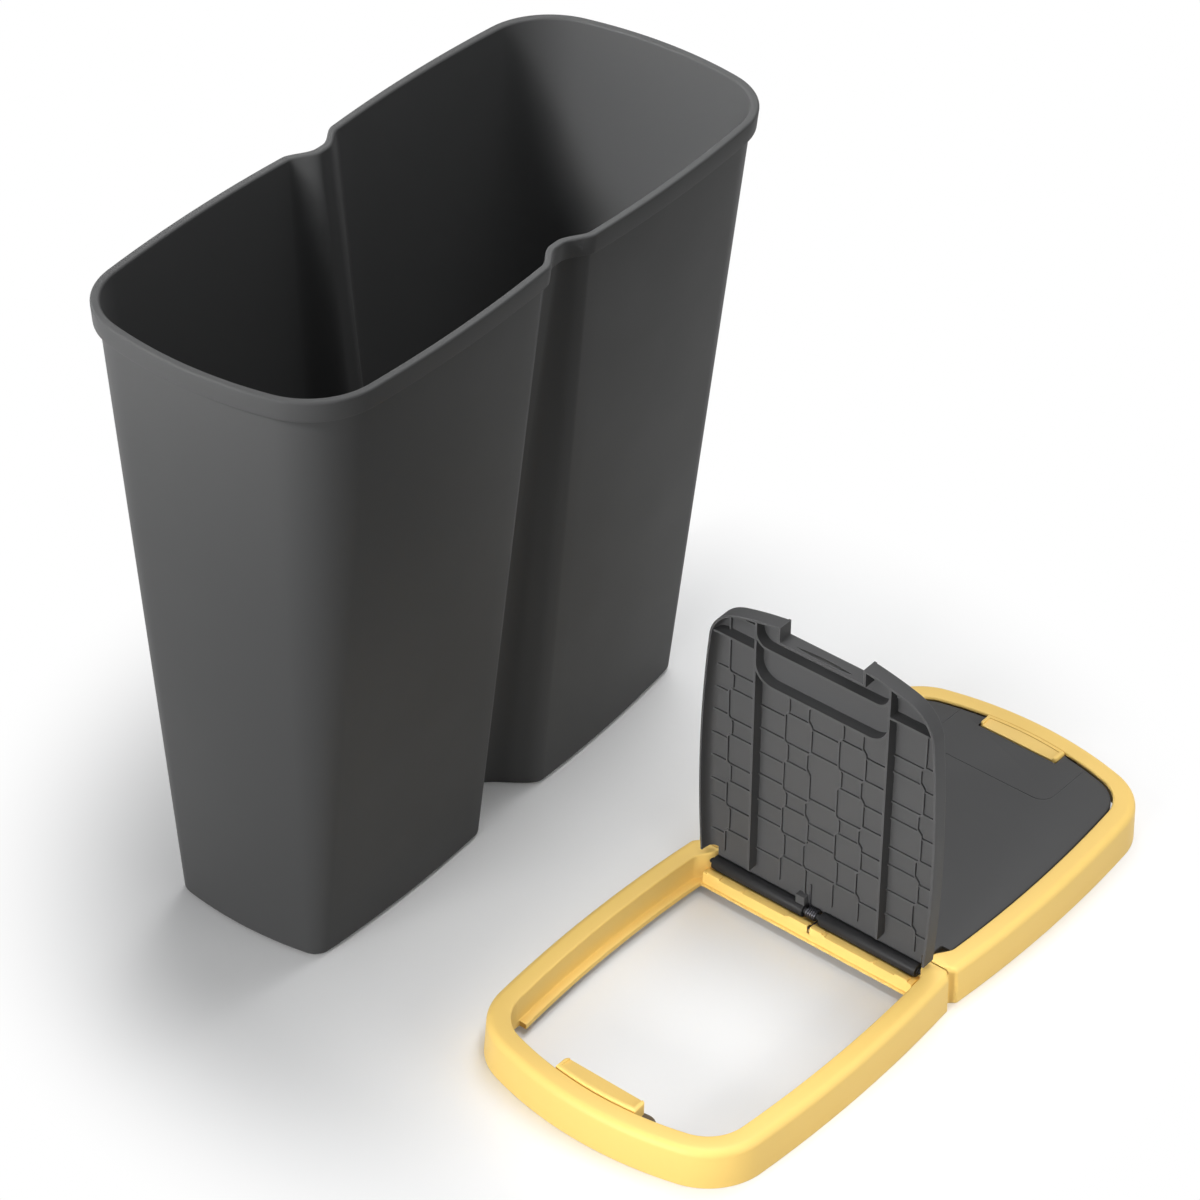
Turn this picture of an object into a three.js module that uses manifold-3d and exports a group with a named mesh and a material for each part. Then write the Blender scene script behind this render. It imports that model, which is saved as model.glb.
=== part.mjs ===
// A slim bin with a waist, and its twin-flap lid lying on the floor beside it.
// Millimetres, +Z up. The origin is the centre of the bin's underside.
// The lid is shown as when it has just been lifted off: one flap open, the other closed.
import * as THREE from "three";
import { mergeVertices } from "three/addons/utils/BufferGeometryUtils.js";
import Module from "manifold-3d";

const wasm = await Module();
wasm.setup();

// ---------------------------------------------------------------- driving dimensions

// Bin
const BIN_LENGTH = 545; // over the rim
const BIN_WIDTH = 238; // over the rim
const BIN_HEIGHT = 510;
const BASE_LENGTH = 452;
const BASE_WIDTH = 144;
const BIN_WALL = 2.2;
const FLOOR_THICKNESS = 3;
const BASE_EDGE_RADIUS = 5;
const RIM_OVERHANG = 4.4; // the rim stands this far outside the body
const RIM_HEIGHT = 16; // the rim is turned down this far
const RIM_WALL = 2.2;
const RIM_EDGE_RADIUS = 1.5;
const RIM_CORNER_RADIUS = 60;
const BASE_CORNER_RADIUS = 14;
const END_RADIUS = 305; // bow of the two ends
const SIDE_RADIUS = 1175; // bow of each half of the long sides
const BOW_CENTRE = 0.4; // where that bow peaks, as a share of the half length

// The groove down the middle of both long sides, from the rim to the base
const RIM_GROOVE = { depth: 11, mouth: 28, floor: 3 };
const BASE_GROOVE = { depth: 35, mouth: 42, floor: 7 };

// Lid frame
const LID_END_GAP = 7; // skirt's foot to the bin's rim at the ends, with the lid on
const LID_SIDE_GAP = 3.5; // the same at the long sides
const LID_LENGTH = BIN_LENGTH + 2 * LID_END_GAP;
const LID_WIDTH = BIN_WIDTH + 2 * LID_SIDE_GAP;
const LID_HEIGHT = 32;
const LID_CORNER_RADIUS = 52;
const LID_END_RADIUS = 283;
const SKIRT_WALL = 2;
const SEAT_CLEARANCE = 0.3; // skirt to the rim, at the shoulder
const WEB = 2.2; // top of the frame
const RING_WIDTH = 18; // from the skirt's foot to the inner edge
const INNER_WALL = 2;
const LEDGE_WIDTH = 6.5;
const LEDGE_TOP = 11;
const LEDGE_BOTTOM = 6.5;
// the skirt leans in this far before its round shoulder
const SHOULDER_DRAFT = LID_SIDE_GAP - SKIRT_WALL - SEAT_CLEARANCE;
const SHOULDER_RADIUS = 6;
const SHOULDER_BULGE = 0.3; // share of its radius at which the shoulder's middle stands in
const OPENING_EDGE = 1.2; // eased edge round the openings
const LEDGE_EDGE = 1;
const NECK_CLEARANCE = 0.5; // frame to bin at the groove
const NECK_MOUTH = 22; // half length of the inner wall's way round that groove
const SKIRT_NOTCH = { depth: 5, mouth: 6.5, floor: 0.4 };
const TOP_NOTCH_DEPTH = 1.5;
const TOP_NOTCH_HALF_WIDTH = 3.5;
const LATCH_GAP_HALF = 70; // the inner wall stops this far from the middle of each end

// Where the lid lies
const FLOOR_GAP = 93.1; // from the rim to the lid, seen from above
const LID_X = 22.9;
const LID_Y = -(BIN_WIDTH / 2 + FLOOR_GAP + LID_WIDTH / 2);
const LID_TURN = -3.2; // degrees about Z

// Flaps, hinges and crossbar
const HINGE_X = 7.5; // from the middle of the lid
const HINGE_Z = 24.5;
const BARREL_RADIUS = 5.5;
const BARREL_END_PLAY = 1.6; // barrel to the frame's inner wall, where the pin's collar sits
const FLAP_THICKNESS = 2.2;
const FLAP_DEPTH = 12.7; // over the turned-down edge
const FLAP_EDGE = 2;
const FLAP_CLEARANCE = 1.3;
const FLAP_NECK = 12.5; // the flap is only as wide as its barrel this far from the hinge
const OPEN_ANGLE = 88;
const RIB_Y = 57.5;
const RIB_THICKNESS = 1.8;
const RIB_HEIGHT = 9;
const RIB_START = 14;
const RIB_MARGIN = 8; // ribs stop this far short of the flap's end and sides
const POCKETS = [{ fromEnd: 60, corner: 16 }, { fromEnd: 28, corner: 11 }]; // U-shaped ribs
const SHORT_RIB_FROM_END = 35;
const BAR_HALF = 19;
const BAR_TOP = 20;
const BAR_BOTTOM = 9;
const BAR_WALL = 2;
const BARREL_GAP = 0.6; // barrel to its trough
const CREST_Z = 26; // the bar's rib between the two barrels
const STEP_WIDTH = 2;

// Hinge pins
const PIN_RADIUS = 2;
const PIN_GAP = 0.3;
const PIN_DEPTH = 6; // into the barrel
const COLLAR_RADIUS = 3.2;

// Torsion spring and the part of the flap that carries it
const WIRE_RADIUS = 0.6;
const COIL_RADIUS = 4;
const COIL_TURNS = 5;
const COIL_PITCH = 1.75;
const MANDREL_RADIUS = 2.6;
const MANDREL_FROM = -9;
const MANDREL_TO = 6;
const COIL_STEPS = 8;
const SPRING_LEG = 24;
const SPRING_FOOT = 11.5;
const SPRING_FOOT_Y = 2.5; // where the foot lies along the hinge
const SPRING_WINDOW = 3; // opening in the flap's plate, beyond the barrel
const KNUCKLE_LENGTH = 8;
const KNUCKLE_REACH = 7; // beyond the barrel
const KNUCKLE_FOOT = -2; // below the hinge axis
const CRADLE_FROM = -17;
const CRADLE_TO = 15;
const CRADLE_RISE = 1.5;
const CRADLE_GAP = 1; // to the barrel
const SLIT_WIDTH = 2.4;
const SLIT_DEPTH = 4;
const SLIT_START = 3; // from the hinge axis

// Latch
const PADDLE_HALF = 35;
const PADDLE_DEPTH = 15.5;
const PADDLE_TOP = 33;
const PADDLE_BOTTOM = 22;
const PADDLE_CORNER = 3.5;
const PADDLE_GAP = 0.7; // to the frame, and to the flap round it
const DISH_DEPTH = 1.4;
const DISH_MARGIN = 3;
const TONGUE_HALF = 24;
const TONGUE_ROOT = 3;
const TONGUE_DROP = 2;
const CATCH_GAP = 1; // the slot in the flap is this much larger all round than the tongue
const BRACKET_HALF = 46;
const BRACKET_WIDTH = 10;
const BRACKET_HEIGHT = 6;
const BRACKET_CLEARANCE = 0.5; // to the closed flap's edge
const BRACKET_TOP = HINGE_Z + BARREL_RADIUS - FLAP_DEPTH - BRACKET_CLEARANCE;
const BRACKET_BOTTOM = BRACKET_TOP - BRACKET_HEIGHT;
const BRACKET_WALL = 2;
const PIVOT_INSET = 1.5; // the posts stand this far in from the frame's edge
const PADDLE_PIVOT_X = LID_LENGTH / 2 - RING_WIDTH - PIVOT_INSET;
const POST_DEPTH = 4;
const POST_WIDTH = 6;
const POST_GAP = 0.8;
const SEAT_GAP = 0.3;

// Joining and cutting
const SUNK = 0.5; // a joined piece starts this far inside the other
const PAST = 1; // a cut runs this far past the face it goes through
const PIN_STEPS = 16;

// ---------------------------------------------------------------- materials

function plastic(name, colour, roughness) {
  return new THREE.MeshStandardMaterial({ name, color: colour, roughness, metalness: 0 });
}

const GRAPHITE = plastic("graphite_plastic", 0x3b3c3c, 0.5);
const FLAP_GREY = plastic("flap_plastic", 0x4c4c4d, 0.55);
const YELLOW = plastic("yellow_plastic", 0xfad97a, 0.5);
const BROWN = plastic("bracket_plastic", 0x5a4c33, 0.55);
const BLACK = plastic("pin_plastic", 0x1c1c1d, 0.5);
const STEEL = new THREE.MeshStandardMaterial({
  name: "spring_steel",
  color: 0x4a4a52,
  roughness: 0.35,
  metalness: 0.9,
});

// ---------------------------------------------------------------- solids

function toSolid(geometry) {
  const bare = geometry.clone();
  bare.deleteAttribute("normal");
  bare.deleteAttribute("uv");
  const merged = mergeVertices(bare, 1e-4);
  const vertProperties = Float32Array.from(merged.attributes.position.array);
  const triVerts = Uint32Array.from(merged.index.array);
  return new wasm.Manifold(new wasm.Mesh({ numProp: 3, vertProperties, triVerts }));
}

function toGeometry(solid) {
  const mesh = solid.getMesh();
  const geometry = new THREE.BufferGeometry();
  geometry.setAttribute("position", new THREE.BufferAttribute(mesh.vertProperties, 3));
  geometry.setIndex(new THREE.BufferAttribute(mesh.triVerts, 1));
  geometry.computeVertexNormals();
  return geometry;
}

function join(...geometries) {
  return toGeometry(geometries.map(toSolid).reduce((sum, next) => sum.add(next)));
}

function cut(geometry, ...tools) {
  return toGeometry(tools.map(toSolid).reduce((rest, tool) => rest.subtract(tool), toSolid(geometry)));
}

function box([x0, x1], [y0, y1], [z0, z1]) {
  const geometry = new THREE.BoxGeometry(x1 - x0, y1 - y0, z1 - z0);
  return geometry.translate((x0 + x1) / 2, (y0 + y1) / 2, (z0 + z1) / 2);
}

// A plan outline, given as points or as a shape, stood up from z0 to z1.
function prism(outline, z0, z1, steps = 12) {
  const shape = outline instanceof THREE.Shape ? outline : new THREE.Shape(outline);
  const options = { depth: z1 - z0, bevelEnabled: false, curveSegments: steps };
  return new THREE.ExtrudeGeometry(shape, options).translate(0, 0, z0);
}

// A section in x and z, run along y from y0 to y1.
function beam(shape, y0, y1, steps = 10) {
  const options = { depth: y1 - y0, bevelEnabled: false, curveSegments: steps };
  const geometry = new THREE.ExtrudeGeometry(shape, options);
  return geometry.rotateX(Math.PI / 2).translate(0, y1, 0);
}

// A round bar along y.
function rod(radius, y0, y1, steps = 24) {
  const geometry = new THREE.CylinderGeometry(radius, radius, y1 - y0, steps);
  return geometry.translate(0, (y0 + y1) / 2, 0);
}

// ---------------------------------------------------------------- plan outlines

const WAIST_SHARES = [0, 0.12, 0.25, 0.38, 0.5, 0.62, 0.75, 0.88, 1];
const SIDE_STEPS = 5;
const CORNER_STEPS = 7;
const END_STEPS = 5;

function arcPoints(centre, radius, from, to, steps) {
  const points = [];
  for (let i = 0; i <= steps; i++) {
    const angle = from + ((to - from) * i) / steps;
    points.push(new THREE.Vector2(Math.cos(angle), Math.sin(angle)).multiplyScalar(radius).add(centre));
  }
  return points;
}

// The quarter of an outline with x and y above 0: from the middle of the end to the waist.
// End and side are flat arcs, joined by a round corner. The groove draws the side in
// towards the waist, by depth at x = 0 and by nothing past its mouth.
function quarterOutline({ halfLength, halfWidth, endRadius, sideRadius, corner, groove }) {
  const endCentre = new THREE.Vector2(halfLength - endRadius, 0);
  const sideCentre = new THREE.Vector2(BOW_CENTRE * halfLength, halfWidth - sideRadius);
  const toEnd = endRadius - corner;
  const toSide = sideRadius - corner;
  const line = sideCentre.clone().sub(endCentre);
  const span = line.length();
  const along = (toEnd ** 2 - toSide ** 2 + span ** 2) / (2 * span);
  const across = Math.sqrt(toEnd ** 2 - along ** 2);
  const unit = line.divideScalar(span);
  const normal = new THREE.Vector2(-unit.y, unit.x);
  const cornerCentre = endCentre.clone().addScaledVector(unit, along).addScaledVector(normal, across);

  const endAngle = cornerCentre.clone().sub(endCentre).angle();
  const sideAngle = cornerCentre.clone().sub(sideCentre).angle();
  const end = arcPoints(endCentre, endRadius, 0, endAngle, END_STEPS);
  const round = arcPoints(cornerCentre, corner, endAngle, sideAngle, CORNER_STEPS);

  const sideY = (x) => sideCentre.y + Math.sqrt(sideRadius ** 2 - (x - sideCentre.x) ** 2);
  const waistY = sideY(groove.mouth) - groove.depth;
  const grooveY = (x) => THREE.MathUtils.lerp(
    waistY, sideY(x), THREE.MathUtils.smoothstep(x, groove.floor, groove.mouth));
  const tangentX = round[CORNER_STEPS].x;
  const side = [];
  for (let i = 1; i < SIDE_STEPS; i++) {
    const x = THREE.MathUtils.lerp(tangentX, groove.mouth, i / SIDE_STEPS);
    side.push(new THREE.Vector2(x, sideY(x)));
  }
  const waist = WAIST_SHARES.map((share) => {
    const x = groove.mouth * share;
    return new THREE.Vector2(x, grooveY(x));
  }).reverse();
  return [...end, ...round.slice(1), ...side, ...waist];
}

// The whole outline, anticlockwise from the middle of the +X end.
function wholeOutline(spec) {
  const quarter = quarterOutline(spec);
  const mirrored = (points, sx, sy) => points.map((p) => new THREE.Vector2(p.x * sx, p.y * sy));
  const back = quarter.slice(0, -1).reverse();
  return [
    ...quarter,
    ...mirrored(back, -1, 1),
    ...mirrored(quarter.slice(1), -1, -1),
    ...mirrored(back.slice(0, -1), 1, -1),
  ];
}

// Joins rings of points, each anticlockwise seen from above, into one closed body.
// An open stack is closed by a flat cap on its first and last ring.
function ringSolid(rings, isLoop) {
  const count = rings[0].length;
  const positions = rings.flat().flatMap((p) => [p.x, p.y, p.z]);
  const indices = [];
  const bands = isLoop ? rings.length : rings.length - 1;
  for (let i = 0; i < bands; i++) {
    const low = i * count;
    const high = ((i + 1) % rings.length) * count;
    for (let j = 0; j < count; j++) {
      const next = (j + 1) % count;
      indices.push(low + j, low + next, high + next, low + j, high + next, high + j);
    }
  }
  if (!isLoop) {
    const flat = (ring) => ring.map((p) => new THREE.Vector2(p.x, p.y));
    const last = (rings.length - 1) * count;
    for (const [a, b, c] of THREE.ShapeUtils.triangulateShape(flat(rings[0]), [])) {
      indices.push(c, b, a);
    }
    for (const [a, b, c] of THREE.ShapeUtils.triangulateShape(flat(rings.at(-1)), [])) {
      indices.push(last + a, last + b, last + c);
    }
  }
  const geometry = new THREE.BufferGeometry();
  geometry.setAttribute("position", new THREE.Float32BufferAttribute(positions, 3));
  geometry.setIndex(indices);
  geometry.computeVertexNormals();
  return geometry;
}

// ---------------------------------------------------------------- bin

// The bin's outline at height z, drawn in by inset from the body's outer face. The body
// tapers straight from the base to the rim. The rim is outside it, so its inset is negative.
function binRing(z, inset) {
  const share = z / BIN_HEIGHT;
  const mix = (base, rim) => THREE.MathUtils.lerp(base, rim, share);
  const groove = {
    depth: mix(BASE_GROOVE.depth, RIM_GROOVE.depth),
    mouth: mix(BASE_GROOVE.mouth, RIM_GROOVE.mouth),
    floor: mix(BASE_GROOVE.floor, RIM_GROOVE.floor),
  };
  const outline = wholeOutline({
    halfLength: mix(BASE_LENGTH / 2, BIN_LENGTH / 2 - RIM_OVERHANG) - inset,
    halfWidth: mix(BASE_WIDTH / 2, BIN_WIDTH / 2 - RIM_OVERHANG) - inset,
    endRadius: END_RADIUS - inset,
    sideRadius: SIDE_RADIUS - inset,
    corner: mix(BASE_CORNER_RADIUS, RIM_CORNER_RADIUS - RIM_OVERHANG) - inset,
    groove,
  });
  return outline.map((p) => new THREE.Vector3(p.x, p.y, z));
}

function makeBin() {
  const outer = -RIM_OVERHANG;
  const underRim = BIN_HEIGHT - RIM_EDGE_RADIUS - RIM_WALL;
  const rimFoot = BIN_HEIGHT - RIM_HEIGHT;
  const innerRadius = BASE_EDGE_RADIUS - BIN_WALL;
  const baseEdge = [0, 30, 60, 90].map((degrees) => {
    const angle = THREE.MathUtils.degToRad(degrees);
    return [BASE_EDGE_RADIUS * (1 - Math.cos(angle)), BASE_EDGE_RADIUS * (1 - Math.sin(angle))];
  });
  // height and inset of each ring: up the outside, round the rim and down the inside
  const section = [
    ...baseEdge,
    [underRim, 0],
    [underRim, outer + RIM_WALL],
    [rimFoot, outer + RIM_WALL],
    [rimFoot, outer],
    [BIN_HEIGHT - RIM_EDGE_RADIUS, outer],
    [BIN_HEIGHT, outer + RIM_EDGE_RADIUS],
    [BIN_HEIGHT, BIN_WALL - RIM_EDGE_RADIUS],
    [BIN_HEIGHT - RIM_EDGE_RADIUS, BIN_WALL],
    [FLOOR_THICKNESS + innerRadius, BIN_WALL],
    [FLOOR_THICKNESS, BIN_WALL + innerRadius],
  ];
  return ringSolid(section.map(([z, inset]) => binRing(z, inset)), false);
}

// ---------------------------------------------------------------- lid frame

// The frame's outline drawn in by inset from the foot of its skirt. Near the groove the
// skirt has a small notch, and the inner wall goes round the bin's own groove.
function lidSpec(inset, groove) {
  return {
    halfLength: LID_LENGTH / 2 - inset,
    halfWidth: LID_WIDTH / 2 - inset,
    endRadius: LID_END_RADIUS - inset,
    sideRadius: SIDE_RADIUS - inset,
    corner: LID_CORNER_RADIUS - inset,
    groove,
  };
}

function lidQuarter(inset, groove) {
  return quarterOutline(lidSpec(inset, groove));
}

const RIM_FACE = RIM_OVERHANG + BIN_WALL; // width of the rim's top
// how much further in the bin's groove is at the depth that the inner wall reaches
const BODY_TAPER = BIN_WIDTH / 2 - RIM_OVERHANG - BASE_WIDTH / 2;
const GROOVE_LEAN = BASE_GROOVE.depth - RIM_GROOVE.depth + BODY_TAPER;
const NECK_LEAN = (GROOVE_LEAN * (LID_HEIGHT - WEB - LEDGE_BOTTOM)) / BIN_HEIGHT;
const BIN_AT_NECK = LID_SIDE_GAP + RIM_FACE + RIM_GROOVE.depth + NECK_LEAN;
const NECK_GROOVE = {
  // how far the inner wall is drawn in beside the bin's groove
  depth: BIN_AT_NECK + NECK_CLEARANCE - (RING_WIDTH - INNER_WALL),
  mouth: NECK_MOUTH,
  floor: RIM_GROOVE.floor,
};
const WALL_AT_HINGE = lidQuarter(RING_WIDTH, NECK_GROOVE).at(-1).y;
const BARREL_END = WALL_AT_HINGE - BARREL_END_PLAY;

function lidRing(inset, z, groove, valley = 0) {
  return wholeOutline(lidSpec(inset, groove)).map((p) => {
    const nearness = 1 - THREE.MathUtils.smoothstep(Math.abs(p.x), 0, TOP_NOTCH_HALF_WIDTH);
    return new THREE.Vector3(p.x, p.y, z - valley * nearness);
  });
}

// Both ends of the lid are bowed about a centre of their own. This is the +X one.
const LATCH_CENTRE_X = LID_LENGTH / 2 - LID_END_RADIUS;
const RING_EDGE_RADIUS = LID_END_RADIUS - RING_WIDTH;

// The gap in the inner wall and its ledge, where the latch is.
function latchGap(side) {
  const plan = bowedBand(
    RING_EDGE_RADIUS - LEDGE_WIDTH - PAST, RING_EDGE_RADIUS + INNER_WALL + PAST, LATCH_GAP_HALF, false);
  const gap = prism(plan, LEDGE_BOTTOM - PAST, LID_HEIGHT - WEB);
  return side > 0 ? gap : gap.rotateZ(Math.PI);
}

// The crossbar's section: an arched channel with a trough for each hinge barrel.
function crossbar() {
  const trough = BARREL_RADIUS + BARREL_GAP;
  const section = new THREE.Shape();
  const lipAngle = Math.asin((HINGE_Z - BAR_TOP) / trough);
  section.moveTo(BAR_HALF + STEP_WIDTH, BAR_BOTTOM);
  section.lineTo(BAR_HALF + STEP_WIDTH, BAR_BOTTOM + STEP_WIDTH);
  section.lineTo(BAR_HALF, BAR_BOTTOM + STEP_WIDTH);
  section.lineTo(BAR_HALF, BAR_TOP);
  section.absarc(HINGE_X, HINGE_Z, trough, -lipAngle, -Math.PI, true);
  section.lineTo(HINGE_X - trough, CREST_Z);
  section.lineTo(-HINGE_X + trough, CREST_Z);
  section.absarc(-HINGE_X, HINGE_Z, trough, 0, -Math.PI + lipAngle, true);
  section.lineTo(-BAR_HALF, BAR_TOP);
  section.lineTo(-BAR_HALF, BAR_BOTTOM + STEP_WIDTH);
  section.lineTo(-BAR_HALF - STEP_WIDTH, BAR_BOTTOM + STEP_WIDTH);
  section.lineTo(-BAR_HALF - STEP_WIDTH, BAR_BOTTOM);
  section.lineTo(-BAR_HALF + BAR_WALL, BAR_BOTTOM);
  section.lineTo(-BAR_HALF + BAR_WALL, HINGE_Z - trough - BAR_WALL);
  section.lineTo(BAR_HALF - BAR_WALL, HINGE_Z - trough - BAR_WALL);
  section.lineTo(BAR_HALF - BAR_WALL, BAR_BOTTOM);
  section.closePath();
  return section;
}

function makeLidFrame() {
  const top = LID_HEIGHT;
  const inner = RING_WIDTH;
  const channel = RING_WIDTH - INNER_WALL;
  const shoulder = SHOULDER_DRAFT + SHOULDER_RADIUS;
  const ledge = RING_WIDTH + LEDGE_WIDTH;
  const bulge = SHOULDER_RADIUS * SHOULDER_BULGE;
  const notch = SKIRT_NOTCH;
  const neck = NECK_GROOVE;
  const easing = { ...SKIRT_NOTCH, depth: SKIRT_NOTCH.depth / 2 };
  const rings = [
    lidRing(0, 0, notch),
    lidRing(SHOULDER_DRAFT, top - SHOULDER_RADIUS, notch),
    lidRing(SHOULDER_DRAFT + bulge, top - bulge, notch, TOP_NOTCH_DEPTH / 2),
    lidRing(shoulder, top, easing, TOP_NOTCH_DEPTH),
    lidRing(inner - OPENING_EDGE, top, neck, TOP_NOTCH_DEPTH),
    lidRing(inner, top - OPENING_EDGE, neck, TOP_NOTCH_DEPTH / 2),
    lidRing(inner, LEDGE_TOP, neck),
    lidRing(ledge - LEDGE_EDGE, LEDGE_TOP, neck),
    lidRing(ledge, LEDGE_TOP - LEDGE_EDGE, neck),
    lidRing(ledge, LEDGE_BOTTOM, neck),
    lidRing(channel, LEDGE_BOTTOM, neck),
    lidRing(channel, top - WEB, neck),
    lidRing(shoulder, top - WEB, easing),
    lidRing(SHOULDER_DRAFT + SKIRT_WALL, top - SHOULDER_RADIUS, notch),
    lidRing(SKIRT_WALL, 0, notch),
  ];
  const ring = ringSolid(rings, true);

  const barEnd = WALL_AT_HINGE + INNER_WALL / 2;
  const bar = beam(crossbar(), -barEnd, barEnd);
  const cradle = (side) => {
    const x = [HINGE_X + BARREL_RADIUS + CRADLE_GAP, BAR_HALF];
    const pad = box(x, [CRADLE_FROM, CRADLE_TO], [BAR_TOP - SUNK, BAR_TOP + CRADLE_RISE]);
    return side > 0 ? pad : pad.rotateZ(Math.PI);
  };
  const slit = (side) => {
    const y = [SPRING_FOOT_Y - SLIT_WIDTH / 2, SPRING_FOOT_Y + SLIT_WIDTH / 2];
    const z = [BAR_TOP - SLIT_DEPTH, BAR_TOP + CRADLE_RISE + PAST];
    const gap = box([HINGE_X + SLIT_START, BAR_HALF + PAST], y, z);
    return side > 0 ? gap : gap.rotateZ(Math.PI);
  };
  // the pins pass through the inner wall only
  const pinHoles = [1, -1].flatMap((x) => [1, -1].map((y) => {
    const ends = [WALL_AT_HINGE - PAST, WALL_AT_HINGE + INNER_WALL + PAST];
    const hole = rod(PIN_RADIUS + PIN_GAP, ...ends, PIN_STEPS);
    return hole.rotateZ(y > 0 ? 0 : Math.PI).translate(x * HINGE_X, 0, HINGE_Z);
  }));
  const frame = join(ring, bar, cradle(1), cradle(-1));
  return cut(frame, latchGap(1), latchGap(-1), slit(1), slit(-1), ...pinHoles);
}

// ---------------------------------------------------------------- flap
// Flap, latch, pins and spring are drawn for the +X side of the lid. The other side is
// the same, turned half round.

const FLAP_TOP = BARREL_RADIUS; // above the hinge axis
const FLAP_FOOT = FLAP_TOP - FLAP_DEPTH;
const PLATE_UNDER = FLAP_TOP - FLAP_THICKNESS;
const PADDLE_INNER_X = LID_LENGTH / 2 - RING_WIDTH - PADDLE_DEPTH;
const NO_GROOVE = { depth: 0, mouth: RIM_GROOVE.mouth, floor: 0 };
const FLAP_INSET = RING_WIDTH + FLAP_CLEARANCE; // from the foot of the frame's skirt
const FLAP_REACH = LID_LENGTH / 2 - FLAP_INSET - HINGE_X; // hinge axis to the flap's end

// The flap's plan from the hinge outwards, x from the hinge axis.
function flapOutline(inset, fromX) {
  const quarter = lidQuarter(inset, NO_GROOVE).map((p) => new THREE.Vector2(p.x - HINGE_X, p.y));
  const kept = quarter.filter((p) => p.x > fromX);
  const sideY = kept.at(-1).y;
  const upper = [...kept, new THREE.Vector2(fromX, sideY)];
  const lower = upper.slice(1).reverse().map((p) => new THREE.Vector2(p.x, -p.y));
  return [...upper, ...lower];
}

// Plan of a U between the two long ribs, open towards the flap's end.
function pocketShape(pocket, inset, x1) {
  const x0 = FLAP_REACH - pocket.fromEnd + inset;
  const y = RIB_Y - inset;
  const radius = pocket.corner - inset;
  const shape = new THREE.Shape();
  shape.moveTo(x1, -y);
  shape.lineTo(x1, y);
  shape.lineTo(x0 + radius, y);
  shape.absarc(x0 + radius, y - radius, radius, Math.PI / 2, Math.PI, false);
  shape.absarc(x0 + radius, -y + radius, radius, Math.PI, 1.5 * Math.PI, false);
  shape.closePath();
  return shape;
}

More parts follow.
